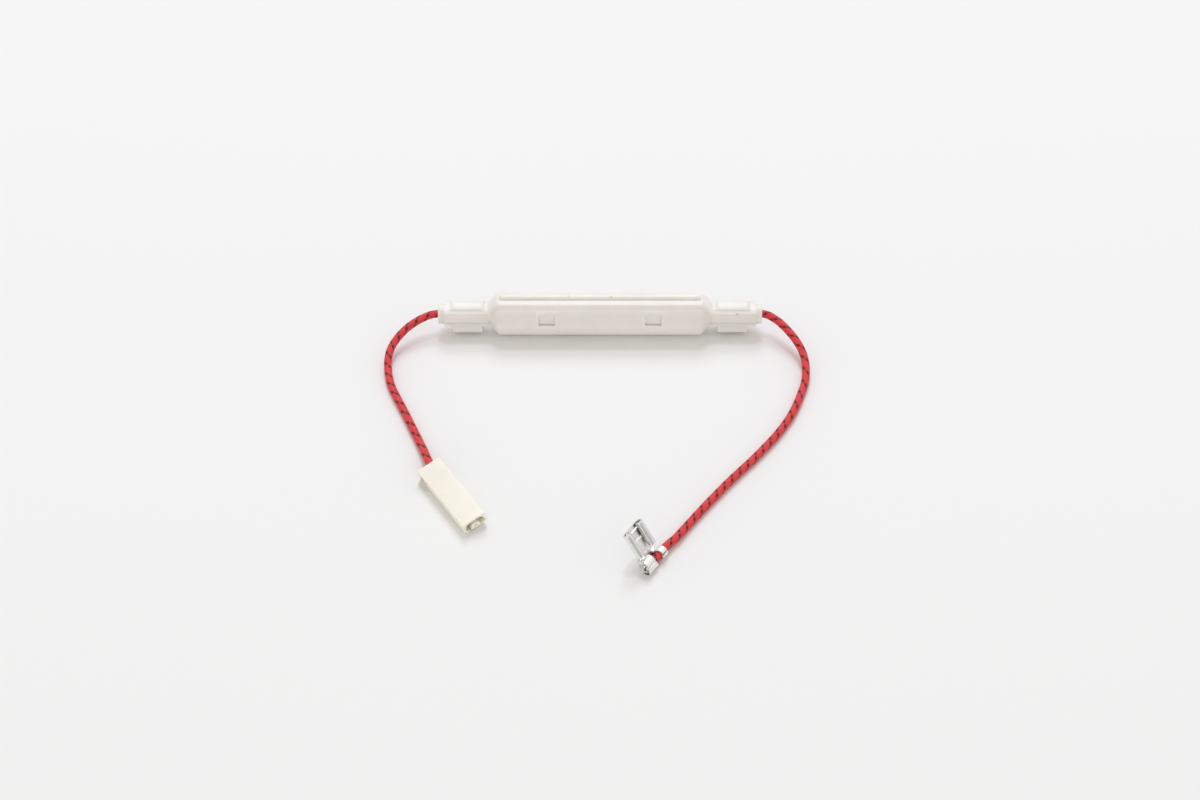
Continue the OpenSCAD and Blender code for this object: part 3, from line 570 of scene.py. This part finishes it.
def spread(breaks, counts):
    # runs of evenly spaced values from each break to the next
    runs = [np.linspace(a, b, n, endpoint=False) for a, b, n in zip(breaks, breaks[1:], counts)]
    return np.concatenate(runs + [[breaks[-1]]])


def easeDown(x, start, end, high, low):
    # half a cosine wave from high at start to low at end
    t = np.clip((x - start) / (end - start), 0, 1)
    return low + (high - low) * (1 + np.cos(np.pi * t)) / 2


def sectionReach(angle, roundRadius, height, crown):
    # Reach from the axis at an angle off straight up. A circle of radius R meets a box of
    # half-width w and height h with corners rounded by a power mean,
    # box = (|sin / w|^p + |cos / h|^p)^(-1/p), in a soft corner
    # max(a, b) + max(k - |a - b|, 0)^2 / (4 k), and never reaches over the flat top.
    half, p, blend = case["stripHalf"], case["cornerPower"], case["cornerBlend"]
    s, c = np.abs(np.sin(angle)) + 1e-9, np.abs(np.cos(angle)) + 1e-9
    outward = np.tan(np.minimum(np.abs(angle), 1.2)) * height / half
    top = height - crown * np.clip(outward, 0, 1) ** 2
    box = ((s / half) ** p + (c / top) ** p) ** (-1 / p)
    gap = np.maximum(blend - np.abs(box - roundRadius), 0)
    return np.minimum(np.maximum(box, roundRadius) + gap**2 / (4 * blend), top / c)


def shellAngles(radius, height, upper):
    # Angles off straight up of a shell's columns. They follow the strip's corner, the window and
    # its frame, which keep their heights, and end at the parting plane.
    k, half = case, case["stripHalf"]
    edge = k["parting"] if upper else -k["parting"]
    side = np.maximum(half, np.sqrt(np.maximum(radius**2 - edge**2, 0)))
    partAngle = np.arctan2(side, edge)
    beforeCorner = np.arctan2(half - 0.7, height)
    corner = np.arctan2(half, height)
    afterCorner = np.arctan2(half, height - 0.6)
    roundFrom = np.arctan2(half, np.sqrt(np.maximum(radius**2 - half**2, 0.01)))
    roundFrom = np.clip(roundFrom, afterCorner + 0.05, partAngle - 0.12)
    bodyPart = math.atan2(math.sqrt(k["bodyRadius"] ** 2 - edge**2), edge)
    bodySide = math.asin(half / k["bodyRadius"])

    def share(z):
        # share of the round side above which the body is higher than z
        return (math.acos(z / k["bodyRadius"]) - bodySide) / (bodyPart - bodySide)

    if upper:
        low, high = k["windowZ"]
        rim = share(high + k["frameWidth"])
        down = spread([0, 0.06, rim - 0.035, rim + 0.035, share(high), share(low), 1],
                      [4, 3, 7, 5, 16, 10])
    else:
        down = spread([0, 0.08, 1], [4, 26])
    steps = spread([0, 1, 2, 3], [10, 8, 8])[:-1]
    stops = np.stack([np.zeros_like(radius), beforeCorner, corner, afterCorner], axis=1)
    strip = np.stack([np.interp(steps, [0, 1, 2, 3], row) for row in stops])
    blend = np.stack([np.linspace(p, q, 7)[:-1] for p, q in zip(afterCorner, roundFrom)])
    roundSide = roundFrom[:, None] + down[None, :] * (partAngle - roundFrom)[:, None]
    right = np.concatenate([strip, blend, roundSide], axis=1)
    return np.concatenate([-right[:, :0:-1], right], axis=1)


def frameLift(x, angle):
    # The window's frame rises with t^2 (3 - 2 t) at both ends and evenly at its upper edge.
    k = case
    fade, fadeAngle = k["frameFade"]
    x0, x1 = k["windowX"][0] - k["frameWidth"], k["windowX"][1] + k["frameWidth"]
    along = np.clip((x - x0) / fade + 0.5, 0, 1) * np.clip((x1 - x) / fade + 0.5, 0, 1)
    along = along**2 * (3 - 2 * along)
    start = math.acos((k["windowZ"][1] + k["frameWidth"]) / k["bodyRadius"])
    across = np.clip((np.abs(angle) - start) / fadeAngle + 0.5, 0, 1)
    return k["frameRise"] * along[:, None] * across


def endPlates(grid):
    # closes both necks: the last outline goes out and shrinks towards the collar
    plates = []
    for end in (0, -1):
        rows = []
        for outward, size in case["plate"]:
            row = grid[end].copy()
            row[:, 0] += np.sign(row[:, 0]) * outward
            row[:, 1] *= size
            row[:, 2] = case["parting"] + (row[:, 2] - case["parting"]) * size
            rows.append(row)
        plates.append(np.array(rows))
    return np.concatenate([plates[0][::-1], grid[1:-1], plates[1]])


def caseShell(name, material, upper):
    # The outer face is reach(x, angle), with rows of points crowded at the windows, shoulders and
    # ends. The windows are left open, and the wall grows inwards.
    k = case
    up = 1 if upper else -1
    w0, w1 = k["windowX"]
    x = spread([0, w0 - 1.2, w0 - 0.6, w0, w1, w1 + 0.6, w1 + 1.2, k["bodyHalf"] - 0.8,
                k["bodyHalf"] + 0.2, k["neckStart"] + 0.2, k["neckEnd"] - 0.4,
                k["neckEnd"] - k["plate"][-1][0]], [12, 6, 3, 10, 3, 6, 12, 6, 22, 20, 3])
    x = np.concatenate([-x[:0:-1], x])
    fromMiddle = np.abs(x)
    radius = easeDown(fromMiddle, *k["shoulderX"], k["bodyRadius"], k["shoulderEnd"])
    if upper:
        height = easeDown(fromMiddle, k["bodyHalf"], k["neckStart"], k["stripTop"], k["neckTop"])
    else:
        height = np.interp(fromMiddle, [k["bodyHalf"], *k["heelX"]],
                           [k["stripTop"], k["heelHeight"], k["neckFloor"]])
    angle = shellAngles(radius, height, upper)
    reach = sectionReach(angle, radius[:, None], height[:, None],
                         k["crown"] if upper else k["baseCrown"])
    if upper:
        reach = reach + frameLift(fromMiddle, angle)
    y = reach * np.sin(angle)
    z = up * reach * np.cos(angle)
    # the last columns roll in a little at the seam
    y[:, 0], y[:, -1] = y[:, 1], y[:, -2]
    z[:, 0] = z[:, -1] = k["parting"]
    y[:, 0] *= 1 - k["seam"] / np.abs(y[:, 0])
    y[:, -1] *= 1 - k["seam"] / np.abs(y[:, -1])
    grid = endPlates(gridOf(x[:, None], y, z))
    points = grid.reshape(-1, 3)
    faces = gridFaces(grid.shape[0], grid.shape[1], False)
    if upper:
        low, high = k["windowZ"]
        middle = points[faces].mean(axis=1)
        inX = (np.abs(middle[:, 0]) > w0) & (np.abs(middle[:, 0]) < w1)
        inZ = (middle[:, 2] > low) & (middle[:, 2] < high)
        faces = faces[~(inX & inZ)]
    points = (points + (0, 0, k["axisHeight"])) * mm
    piece = meshPiece(name, points.tolist(), faces.tolist(), material, flip=upper)
    thicken(piece, k["wall"], -1)
    soften(piece, k["edge"], 2)
    return piece


def ridge(k, side=1):
    # Section z = low + rise sin(t)^power over y = half cos(t), closed underneath; the rise eases
    # in and out at both ends like a quarter of a sine wave.
    x0, x1 = sorted(side * v for v in k["x"])
    low, high = k["z"]
    t = np.linspace(0, np.pi, 25)
    x = spread([x0, x0 + k["taper"], x1 - k["taper"], x1], [8, 40, 8])
    rise = np.sin(np.pi / 2 * np.clip(np.minimum(x - x0, x1 - x) / k["taper"], 0.02, 1))
    y = np.concatenate([k["half"] * np.cos(t), [-k["half"], k["half"]]])
    z = low + (high - low) * np.concatenate([np.sin(t) ** k["power"], [0, 0]]) * rise[:, None]
    z[:, -2:] = low - k["sunk"]
    return gridOf(x[:, None], y, z).reshape(-1, 3), tubeFaces(len(x), len(y))


def keelRing(side):
    # A rounded rectangle in plan, (|cos / a|^20 + |sin / b|^20)^(-1/20), drawn in as the
    # profile goes down the outside, round the lip and up the inside. Its columns crowd at the
    # corners.
    k, wall, lip = keel, case["wall"], keel["lip"]
    halfLength, halfWidth = k["halfLength"], case["stripHalf"]
    top, foot = k["top"], k["foot"]
    edge = [(0, foot + lip), (0.3 * lip, foot + 0.3 * lip), (lip, foot)]
    profile = np.array([(0, top), (0, foot + 0.5)] + edge
                       + [(wall - inward, z) for inward, z in edge[::-1]] + [(wall, top)])
    angle = 2 * np.pi * (np.arange(96) + 0.5) / 96
    a = (halfLength - profile[:, 0])[:, None]
    b = (halfWidth - profile[:, 0])[:, None]
    corner = np.arctan2(halfWidth, halfLength)
    even = np.linspace(0, np.pi / 2, 5)
    crowded = [0, corner - 0.06, corner, corner + 0.06, np.pi / 2]
    quarter, rest = np.divmod(angle, np.pi / 2)
    turn = quarter * np.pi / 2 + np.where(
        quarter % 2 == 0, np.interp(rest, even, crowded),
        np.pi / 2 - np.interp(np.pi / 2 - rest, even, crowded))
    reach = (np.abs(np.cos(turn) / a) ** 20 + np.abs(np.sin(turn) / b) ** 20) ** (-1 / 20)
    grid = gridOf(side * k["middle"] + reach * np.cos(turn), reach * np.sin(turn), profile[:, 1:])
    return grid.reshape(-1, 3), gridFaces(len(profile), len(angle), True)


def collarHalf(side, upper):
    # The profile (x, r) turned about the case's axis, from one meeting line to the other.
    x0, x1 = collar["x"]
    outer, bore = collar["radius"], collar["bore"]
    profile = np.array([(x0, outer), (x1 - 0.5, outer), (x1 - 0.22, outer - 0.02),
                        (x1 - 0.06, outer - 0.09), (x1, outer - 0.25), (x1, bore + 0.15),
                        (x1 - 0.05, bore + 0.05), (x1 - 0.15, bore), (x0, bore)])
    part = math.acos(case["parting"] / outer)
    turn = np.linspace(-part, part, 65) if upper else np.linspace(part, 2 * np.pi - part, 49)
    rolled = np.ones_like(turn)
    rolled[[0, -1]] = 0.985
    r = profile[:, 1:2] * rolled
    grid = gridOf(side * profile[:, :1], r * np.sin(turn), r * np.cos(turn))
    n, rows = len(turn), range(len(profile))
    ends = [[i * n for i in rows], [i * n + n - 1 for i in rows][::-1]]
    return grid.reshape(-1, 3), gridFaces(len(profile), n, False).tolist() + ends


def hookShape(end, side):
    # The section is a tongue with a barb, whose face slopes back above its nose. It is carried
    # straight along x.
    k = hook
    y0, y1 = k["tongue"]
    section = [(y0, k["foot"]), (y1, k["foot"]), (y1, k["nose"][0]), (k["barb"], k["nose"][0]),
               (k["barb"], k["nose"][1])]
    section += [(y1 + outward, z) for outward, z in k["slope"]]
    y, z = np.array(section + [(y0, section[-1][1])]).T
    x = end * k["middle"] + np.array([[-k["half"]], [k["half"]]])
    return gridOf(x, side * y, z).reshape(-1, 3), tubeFaces(2, len(y))


def joinShapes(name, shapes, material, bevel=None):
    # several closed shapes in one mesh, with normals worked out again
    points, faces = gather(shapes)
    points = (points + (0, 0, case["axisHeight"])) * mm
    piece = meshPiece(name, points.tolist(), faces, material)
    turnOutwards(piece, 1e-7)
    if bevel:
        soften(piece, bevel, 3, 30, False)
    return piece


def makeCase(material):
    ends = (-1, 1)
    cover = caseShell("caseCoverShell", material, True)
    base = caseShell("caseBaseShell", material, False)
    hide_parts("case_cover")
    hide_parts("case_base")
    rib = joinShapes("caseTopRib", [ridge(topRib)], material)
    neckRibs = joinShapes("caseNeckRibs", [ridge(neckRib, end) for end in ends], material)
    keels = joinShapes("caseKeels", [keelRing(end) for end in ends], material)
    collars = joinShapes("caseCollars", [
        collarHalf(end, upper) for end in ends for upper in (True, False)], material)
    hooks = joinShapes("caseHooks", [
        hookShape(end, side) for end in ends for side in (-1, 1)], material, hook["edge"])
    print("case shells made")


# specks of dirt on the case, with places and radii in mm
specks = {
    "places": [((-9.6, -0.2, 14.15), 0.36), ((3.5, -0.5, 13.8), 0.34), ((42.0, -3.35, 9.2), 0.45)],
    "uneven": 0.2,          # how far their edges wander
    "colour": (0.25, 0.2, 0.16),
    "strength": 0.7,
}
# two tints, the roughness and the milkiness of each plastic
plastics = {
    "milkyPlastic": ((0.83, 0.797, 0.755), (0.86, 0.83, 0.79), 0.4, {
        "Subsurface Weight": 0.55,
        "Subsurface Radius": (1.0, 0.9, 0.78),
        "Subsurface Scale": 0.6 * mm,
    }),
    "ivoryNylon": ((0.92, 0.873, 0.765), (0.95, 0.903, 0.80), 0.42, {
        "Subsurface Weight": 0.5,
        "Subsurface Radius": (1.0, 0.88, 0.55),
        "Subsurface Scale": 0.6 * mm,
    }),
}
# two tints and the roughness of each metal
metals = {
    "tinnedBrass": ((0.78, 0.765, 0.74), (0.92, 0.905, 0.885), 0.24),
    "copperWire": ((0.62, 0.33, 0.2), (0.8, 0.46, 0.3), 0.3),
    "tinnedStrands": ((0.82, 0.79, 0.73), (0.95, 0.92, 0.86), 0.34),
    # painted shade: a darker, rougher copy of tinned brass for the receptacle, which sits in shade
    # inside the housing's mouth
    "shadedBrass": ((0.5, 0.44, 0.32), (0.66, 0.59, 0.45), 0.4),
    "springSteel": ((0.45, 0.45, 0.46), (0.6, 0.6, 0.6), 0.35),
    "solderGrey": ((0.5, 0.5, 0.51), (0.66, 0.66, 0.67), 0.45),
}
# the frame's pieces that stay in view as they are, by metal
plainPieces = {
    "tinnedBrass": ["left_contact", "right_contact", "left_end_cap", "right_end_cap"],
    # painted shade: the receptacle gets the darker copy of tinned brass
    "shadedBrass": ["receptacle"],
    "copperWire": ["left_inner_strands", "right_inner_strands", "left_outer_strands", "fusible_wire"],
    "springSteel": ["pulling_spring"],
    "solderGrey": ["link_bead", "left_solder", "right_solder"],
}


def addSpecks(tree, tint, settings):
    # A speck is where the distance to its place, made uneven by noise, is under its radius.
    place = addNode(tree, "ShaderNodeTexCoord")
    wander = settings["uneven"] * mm
    uneven = rangeTo(tree, objectNoise(tree, 2500, 3), -wander, wander, 0.3, 0.7)
    dirt = 0.0
    for centre, radius in settings["places"]:
        away = addNode(tree, "ShaderNodeVectorMath", operation="DISTANCE")
        tree.links.new(place.outputs["Object"], away.inputs[0])
        away.inputs[1].default_value = [v * mm for v in centre]
        reach = maths(tree, "ADD", away.outputs["Value"], uneven)
        dirt = maths(tree, "MAXIMUM", dirt, rangeTo(tree, reach, settings["strength"], 0.0,
                                                    0.3 * radius * mm, radius * mm))
    return mixColours(tree, dirt, tint, settings["colour"])


def makePlastic(name, low, high, roughness, milk, dirt=None):
    # a tint in wide soft patches, an uneven shine and a very fine grain
    material, tree, shader = startMaterial(name, high, roughness, milk)
    tint = rampBetween(tree, objectNoise(tree, 120, 3), low, high, 0.35, 0.65)
    if dirt:
        tint = addSpecks(tree, tint, dirt)
    tree.links.new(tint, shader.inputs["Base Color"])
    roughen(tree, shader, objectNoise(tree, 1500, 2), roughness - 0.06, roughness + 0.08)
    addBump(tree, shader, objectNoise(tree, 3500, 3), 0.02 * mm, 0.5)
    return material


def makeMetal(name, low, high, roughness):
    material, tree, shader = startMaterial(name, high, roughness, {"Metallic": 1.0})
    tint = rampBetween(tree, objectNoise(tree, 700, 5), low, high)
    tree.links.new(tint, shader.inputs["Base Color"])
    grain = objectNoise(tree, 2500, 4)
    roughen(tree, shader, grain, roughness - 0.08, roughness + 0.1)
    addBump(tree, shader, grain, 0.004 * mm, 0.5)
    return material


def makeGlass():
    material, tree, shader = startMaterial("clearGlass", (0.93, 0.96, 0.96), 0.04,
                                           {"Transmission Weight": 1.0, "IOR": 1.5})
    roughen(tree, shader, objectNoise(tree, 400, 2), 0.02, 0.07)
    return material


def dress(names, material):
    for name in names:
        piece = nodes[name]
        piece.data.materials.clear()
        piece.data.materials.append(material)


milkyPlastic = makePlastic("milkyPlastic", *plastics["milkyPlastic"], specks)
ivoryNylon = makePlastic("ivoryNylon", *plastics["ivoryNylon"])
metal = {name: makeMetal(name, *look) for name, look in metals.items()}
glass = makeGlass()


# the ivory housing at the left lead's end, in mm: the frame's block with softened edges
housing = {
    "edge": 0.15,
}


def softCopy(node, name, material, edge):
    # a merged copy of a node's loose triangles, its flat faces joined and its edges bevelled
    mesh = node.data.copy()
    work = bmesh.new()
    work.from_mesh(mesh)
    bmesh.ops.remove_doubles(work, verts=work.verts, dist=2e-6)
    bmesh.ops.dissolve_limit(work, angle_limit=math.radians(1), verts=work.verts, edges=work.edges)
    work.to_mesh(mesh)
    work.free()
    piece = showMesh(name, mesh, material)
    soften(piece, edge, 3)
    return piece


# the flag receptacle at the right lead's end, in mm, cut from one sheet and rolled: x runs from
# the wire's crimp to the lead's, z from the crimps to the mouth, and the open side is -y
flag = {
    "middle": (14.8, -94.7, 1.7),
    "heading": 56.5,
    "lean": 36.0,
    "sheet": 0.4,
    "edge": 0.07,
    "floor": 1.5,           # y of the middle of the floor's sheet
    "rollX": 2.85,
    "rollRadius": 0.95,
    "lipTurn": 188.0,       # how far the edges are rolled in
    "boxFrom": 3.7,
    "mouth": 11.5,
    "flare": 0.07,          # share by which the rolls widen at the mouth, and over what length
    "flareLength": 0.7,
    "ribs": (7.3, 10.05),
    "ribHeight": 0.32,
    "ribWidth": 0.24,
    "ribReach": 2.3,
    "ribFade": 0.35,
    "neckFrom": -0.4,
    "neckWidth": 0.78,      # share of the floor's width at the crimps, full after the taper
    "neckTaper": 2.4,
    "edgeFrom": 2.2,        # z from which the neck's edges turn up, and by how much at the box
    "edgeTurn": 105.0,
    "edgeRun": 0.16,        # their width where they still lie flat
    "cell": 0.15,           # size of the squares in the neck's grid
    "pilot": (0.0, 3.1, 0.42),
    "pilotGrid": (0.3, 0.75),   # half-sizes of the squares drawn onto the hole and left alone
    "wireCrimp": (-4.5, -0.7),
    "wireWide": 0.9,        # how much wider than deep the wire's crimp is
    "curl": 0.2,            # radius with which its edges turn in, and how far they run on
    "wing": 0.7,
    "crimpRadius": 1.5,
    "bell": 0.2,
    "bellLength": 0.22,
    "toolMarks": (-3.4, -2.6, -1.8),
    "markWidth": 0.13,
    "markDepth": 0.035,
    "leadCrimp": (2.3, 4.5),
    "leadRadius": 1.48,
    "leadGap": 0.09,        # half the angle that the lead's crimp leaves open
    "rim": 0.1,
    "rimLength": 0.2,
}


def placeFlag(points, k):
    # turned by the lean about x, then by the heading about z, and moved to its middle
    lean, heading = math.radians(-k["lean"]), math.radians(k["heading"])
    c, s = math.cos(lean), math.sin(lean)
    leant = np.array([[1, 0, 0], [0, c, -s], [0, s, c]])
    c, s = math.cos(heading), math.sin(heading)
    headed = np.array([[c, -s, 0], [s, c, 0], [0, 0, 1]])
    return points @ (headed @ leant).T + k["middle"]


def rolledBox(k):
    # The section goes round the left roll, across the floor and round the right one. Its floor
    # rises in two ribs, h exp(-((z - rib) / w)^2), and the rolls widen by f t^2 to the mouth.
    turn = np.radians(np.linspace(k["lipTurn"], -90, 26))
    # rows crowd over the ribs
    low, high = k["ribs"]
    z = spread([k["boxFrom"], low - 0.7, low + 0.7, high - 0.7, high + 0.7, k["mouth"]],
               [12, 20, 6, 20, 8])
    toMouth = np.clip((z - k["mouth"]) / k["flareLength"] + 1, 0, 1)[:, None]
    radius = k["rollRadius"] * (1 + k["flare"] * toMouth**2)
    flat = np.linspace(-k["rollX"], k["rollX"], 33)[1:-1]
    rollX = k["rollX"] + radius * np.cos(turn)
    rollY = k["floor"] - k["rollRadius"] - radius * np.sin(turn)
    press = sum(np.exp(-((z - rib) / k["ribWidth"]) ** 2) for rib in k["ribs"])[:, None]
    within = np.clip((k["ribReach"] - np.abs(flat)) / k["ribFade"], 0, 1)
    within = within**2 * (3 - 2 * within)
    floorY = k["floor"] - k["ribHeight"] * press * within
    x = np.concatenate([-rollX, np.repeat(flat[None], len(z), 0), rollX[:, ::-1]], axis=1)
    y = np.concatenate([rollY, floorY, rollY[:, ::-1]], axis=1)
    grid = gridOf(x, y, z[:, None])
    return grid.reshape(-1, 3), gridFaces(len(z), x.shape[1], False)


def neckStrip(k):
    # The floor carried on to the crimps, narrower there, its edges turned up by a t^1.5 towards
    # the box. Round the pilot hole the grid's squares are drawn onto circles,
    # r = hole (1 - t) + edge t, with edge the way to the rim of the largest square.
    cell, steps = k["cell"], np.linspace(0, 1, 9)[1:]
    z = np.arange(k["neckFrom"], k["boxFrom"] + cell + 0.01, cell)
    columns = round(k["rollX"] / cell)
    flat = np.arange(-columns, columns + 1) * cell
    rise = np.clip((z - k["edgeFrom"]) / (k["boxFrom"] - k["edgeFrom"]), 0, 1)[:, None]
    turn = np.radians(-90 + k["edgeTurn"] * rise**1.5 * steps)
    edgeX = k["rollX"] + k["rollRadius"] * np.cos(turn) + k["edgeRun"] * steps * (1 - rise)
    edgeY = k["floor"] - k["rollRadius"] - k["rollRadius"] * np.sin(turn)
    x = np.concatenate([-edgeX[:, ::-1], np.repeat(flat[None], len(z), 0), edgeX], axis=1)
    y = np.concatenate([edgeY[:, ::-1], np.full((len(z), len(flat)), k["floor"]), edgeY], axis=1)
    widened = np.clip((z - k["neckFrom"]) / k["neckTaper"], 0, 1)[:, None]
    x *= k["neckWidth"] + (1 - k["neckWidth"]) * widened
    grid = gridOf(x, y, z[:, None])
    holeX, holeZ, hole = k["pilot"]
    inner, outer = k["pilotGrid"]
    holeZ = z[np.argmin(np.abs(z - holeZ))]
    dx, dz = grid[..., 0] - holeX, grid[..., 2] - holeZ
    square = np.maximum(np.abs(dx), np.abs(dz))
    t = np.clip((square - inner) / (outer - inner), 0, 1)
    length = np.hypot(dx, dz) + 1e-9
    drawn = hole * (1 - t) + length * outer / np.maximum(square, 1e-6) * t
    ring = (square > inner - 0.01) & (square < outer - 0.01)
    pull = np.where(ring, drawn / length, 1)
    grid[..., 0] = holeX + dx * pull
    grid[..., 2] = holeZ + dz * pull
    faces = gridFaces(len(z), x.shape[1], False)
    outside = square.reshape(-1)[faces].max(axis=1) > inner + 0.01
    return grid.reshape(-1, 3), faces[outside]


def nearEnds(x, x0, x1, length):
    # exp(-d / length) at the distances d from both ends
    return np.exp(-(x - x0) / length) + np.exp(-(x1 - x) / length)


def wireCrimp(k):
    # The section goes round the wire, and both its edges curl in at the seam and run side by
    # side towards the middle. Both ends open in a bell, and the tool leaves shallow marks,
    # d exp(-((x - mark) / w)^2).
    curl, half = k["curl"], k["sheet"] / 2 + 0.005
    r, wide = k["crimpRadius"], k["wireWide"]
    start = math.asin((half + curl) / (r - curl))
    around = np.linspace(start, 2 * np.pi - start, 61)
    bend = np.linspace(np.pi / 2, -start, 8)[:-1]
    curlY, curlZ = -(r - curl) * math.cos(start), (r - curl) * math.sin(start)
    inY = np.concatenate([[curlY + k["wing"], curlY + k["wing"] / 2], curlY - curl * np.cos(bend)])
    inZ = np.concatenate([[half, half], curlZ - curl * np.sin(bend)])
    y = np.concatenate([inY, -r * np.cos(around), inY[::-1]])
    z = np.concatenate([inZ, r * np.sin(around), -inZ[::-1]])
    x0, x1 = k["wireCrimp"]
    x = spread([x0, x0 + 0.6, x1 - 0.6, x1], [7, 30, 7])
    bell = k["bell"] * nearEnds(x, x0, x1, k["bellLength"])
    marks = sum(np.exp(-((x - mark) / k["markWidth"]) ** 2) for mark in k["toolMarks"])
    size = 1 + (bell - k["markDepth"] * marks) / r
    # Both halves of the section move apart, by the sine of how far they are from the seam.
    fromSeam = np.clip((np.abs(z) - half) / (r - half), 0, 1)
    apart = wide / 2 * (1 + np.sign(z) * np.sin(fromSeam * np.pi / 2))
    grid = gridOf(x[:, None], y * size[:, None], z * size[:, None] + apart)
    return grid.reshape(-1, 3), gridFaces(len(x), len(y), False)


def leadCrimp(k):
    # an open ring round the lead, with its ends a little apart and its rims opened
    x0, x1 = k["leadCrimp"]
    x = spread([x0, x0 + 0.4, x1 - 0.4, x1], [5, 10, 5])
    turn = np.linspace(k["leadGap"], 2 * np.pi - k["leadGap"], 65)
    r = (k["leadRadius"] + k["rim"] * nearEnds(x, x0, x1, k["rimLength"]))[:, None]
    grid = gridOf(x[:, None], -r * np.cos(turn), r * np.sin(turn))
    return grid.reshape(-1, 3), gridFaces(len(x), len(turn), False)


# the bare wire's strands in the flag's crimp, in mm
strands = {
    "radius": 0.24,
    "rowStep": 1.75,        # from row to row and from strand to strand, in strand radii
    "strandStep": 2.02,
    "boreRadius": 1.27,
    "wingDepth": -0.35,     # y up to which the crimp's wings stand between the strands
    "wingGap": 0.03,
    "lowest": -0.7,         # the wire doesn't fill the crimp's lower end
    "lift": 0.06,
    "from": -4.9,
    "uneven": 0.25,
    "to": -0.35,
    "spread": 0.11,
    "sides": 10,
}


def wireStrands(settings, k):
    # Strands packed in rows, each half a strand off the last, wherever they fit in the crimp;
    # they spread a little to their ends, which are domes r sqrt(1 - (1 - t)^2) at uneven lengths.
    r, n, wide = settings["radius"], settings["sides"], k["wireWide"]
    row, place = np.mgrid[-6:7, -7:8].reshape(2, -1)
    y = settings["rowStep"] * r * row
    fromSeam = settings["strandStep"] * r * (place + row % 2 / 2)
    reach = np.hypot(y, np.maximum(np.abs(fromSeam) - wide / 2, 0))
    clear = (y > settings["wingDepth"]) | (np.abs(fromSeam) > k["sheet"] + r + settings["wingGap"])
    z = fromSeam + wide / 2
    keep = (reach < settings["boreRadius"] - r) & clear & (z > settings["lowest"])
    y, z = y[keep], z[keep] + settings["lift"]
    end = settings["from"] + settings["uneven"] * np.sin(7.3 * y + 11.1 * z)
    t = np.linspace(0, 1, 5)
    x = np.concatenate([end[:, None] + r * t, np.full((len(y), 1), settings["to"])], axis=1)
    size = np.concatenate([r * np.sqrt(np.clip(1 - (1 - t) ** 2, 0.004, 1)), [r]])
    turn = 2 * np.pi * np.arange(n) / n
    apart = 1 + settings["spread"] * np.append(np.ones(len(t)), 0)[None, :, None]
    y, z, size = y[:, None, None], z[:, None, None], size[:, None]
    grid = gridOf(x[..., None], y * apart + size * np.cos(turn),
                  wide / 2 + (z - wide / 2) * apart + size * np.sin(turn))
    tube = tubeFaces(len(size), n)
    return gather([(strand.reshape(-1, 3), tube) for strand in grid])


def makeFlag(material):
    points, faces = gather([rolledBox(flag), neckStrip(flag), wireCrimp(flag), leadCrimp(flag)])
    points = placeFlag(points, flag)
    # the crimp lies on the table, its bell flattened there
    points[:, 2] = np.maximum(points[:, 2], flag["sheet"] / 2)
    piece = meshPiece("flagReceptacleSheet", (points * mm).tolist(), faces, material)
    thicken(piece, flag["sheet"], 0)
    soften(piece, flag["edge"], 2, 50)
    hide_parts("flag_receptacle")
    return piece


def makeStrands(material):
    points, faces = wireStrands(strands, flag)
    piece = meshPiece("flagStrands", (placeFlag(points, flag) * mm).tolist(), faces, material)
    turnOutwards(piece)
    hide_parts("right_outer_strands")
    return piece


makeCase(milkyPlastic)
housingBlock = softCopy(nodes["connector_housing"], "housingBlock", ivoryNylon, housing["edge"])
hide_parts("connector_housing")
flagSheet = makeFlag(metal["tinnedBrass"])
flagStrands = makeStrands(metal["tinnedStrands"])
print("terminals on the leads")
for name, pieces in plainPieces.items():
    dress(pieces, metal[name])
dress(["glass_tube"], glass)
print("finishes on")
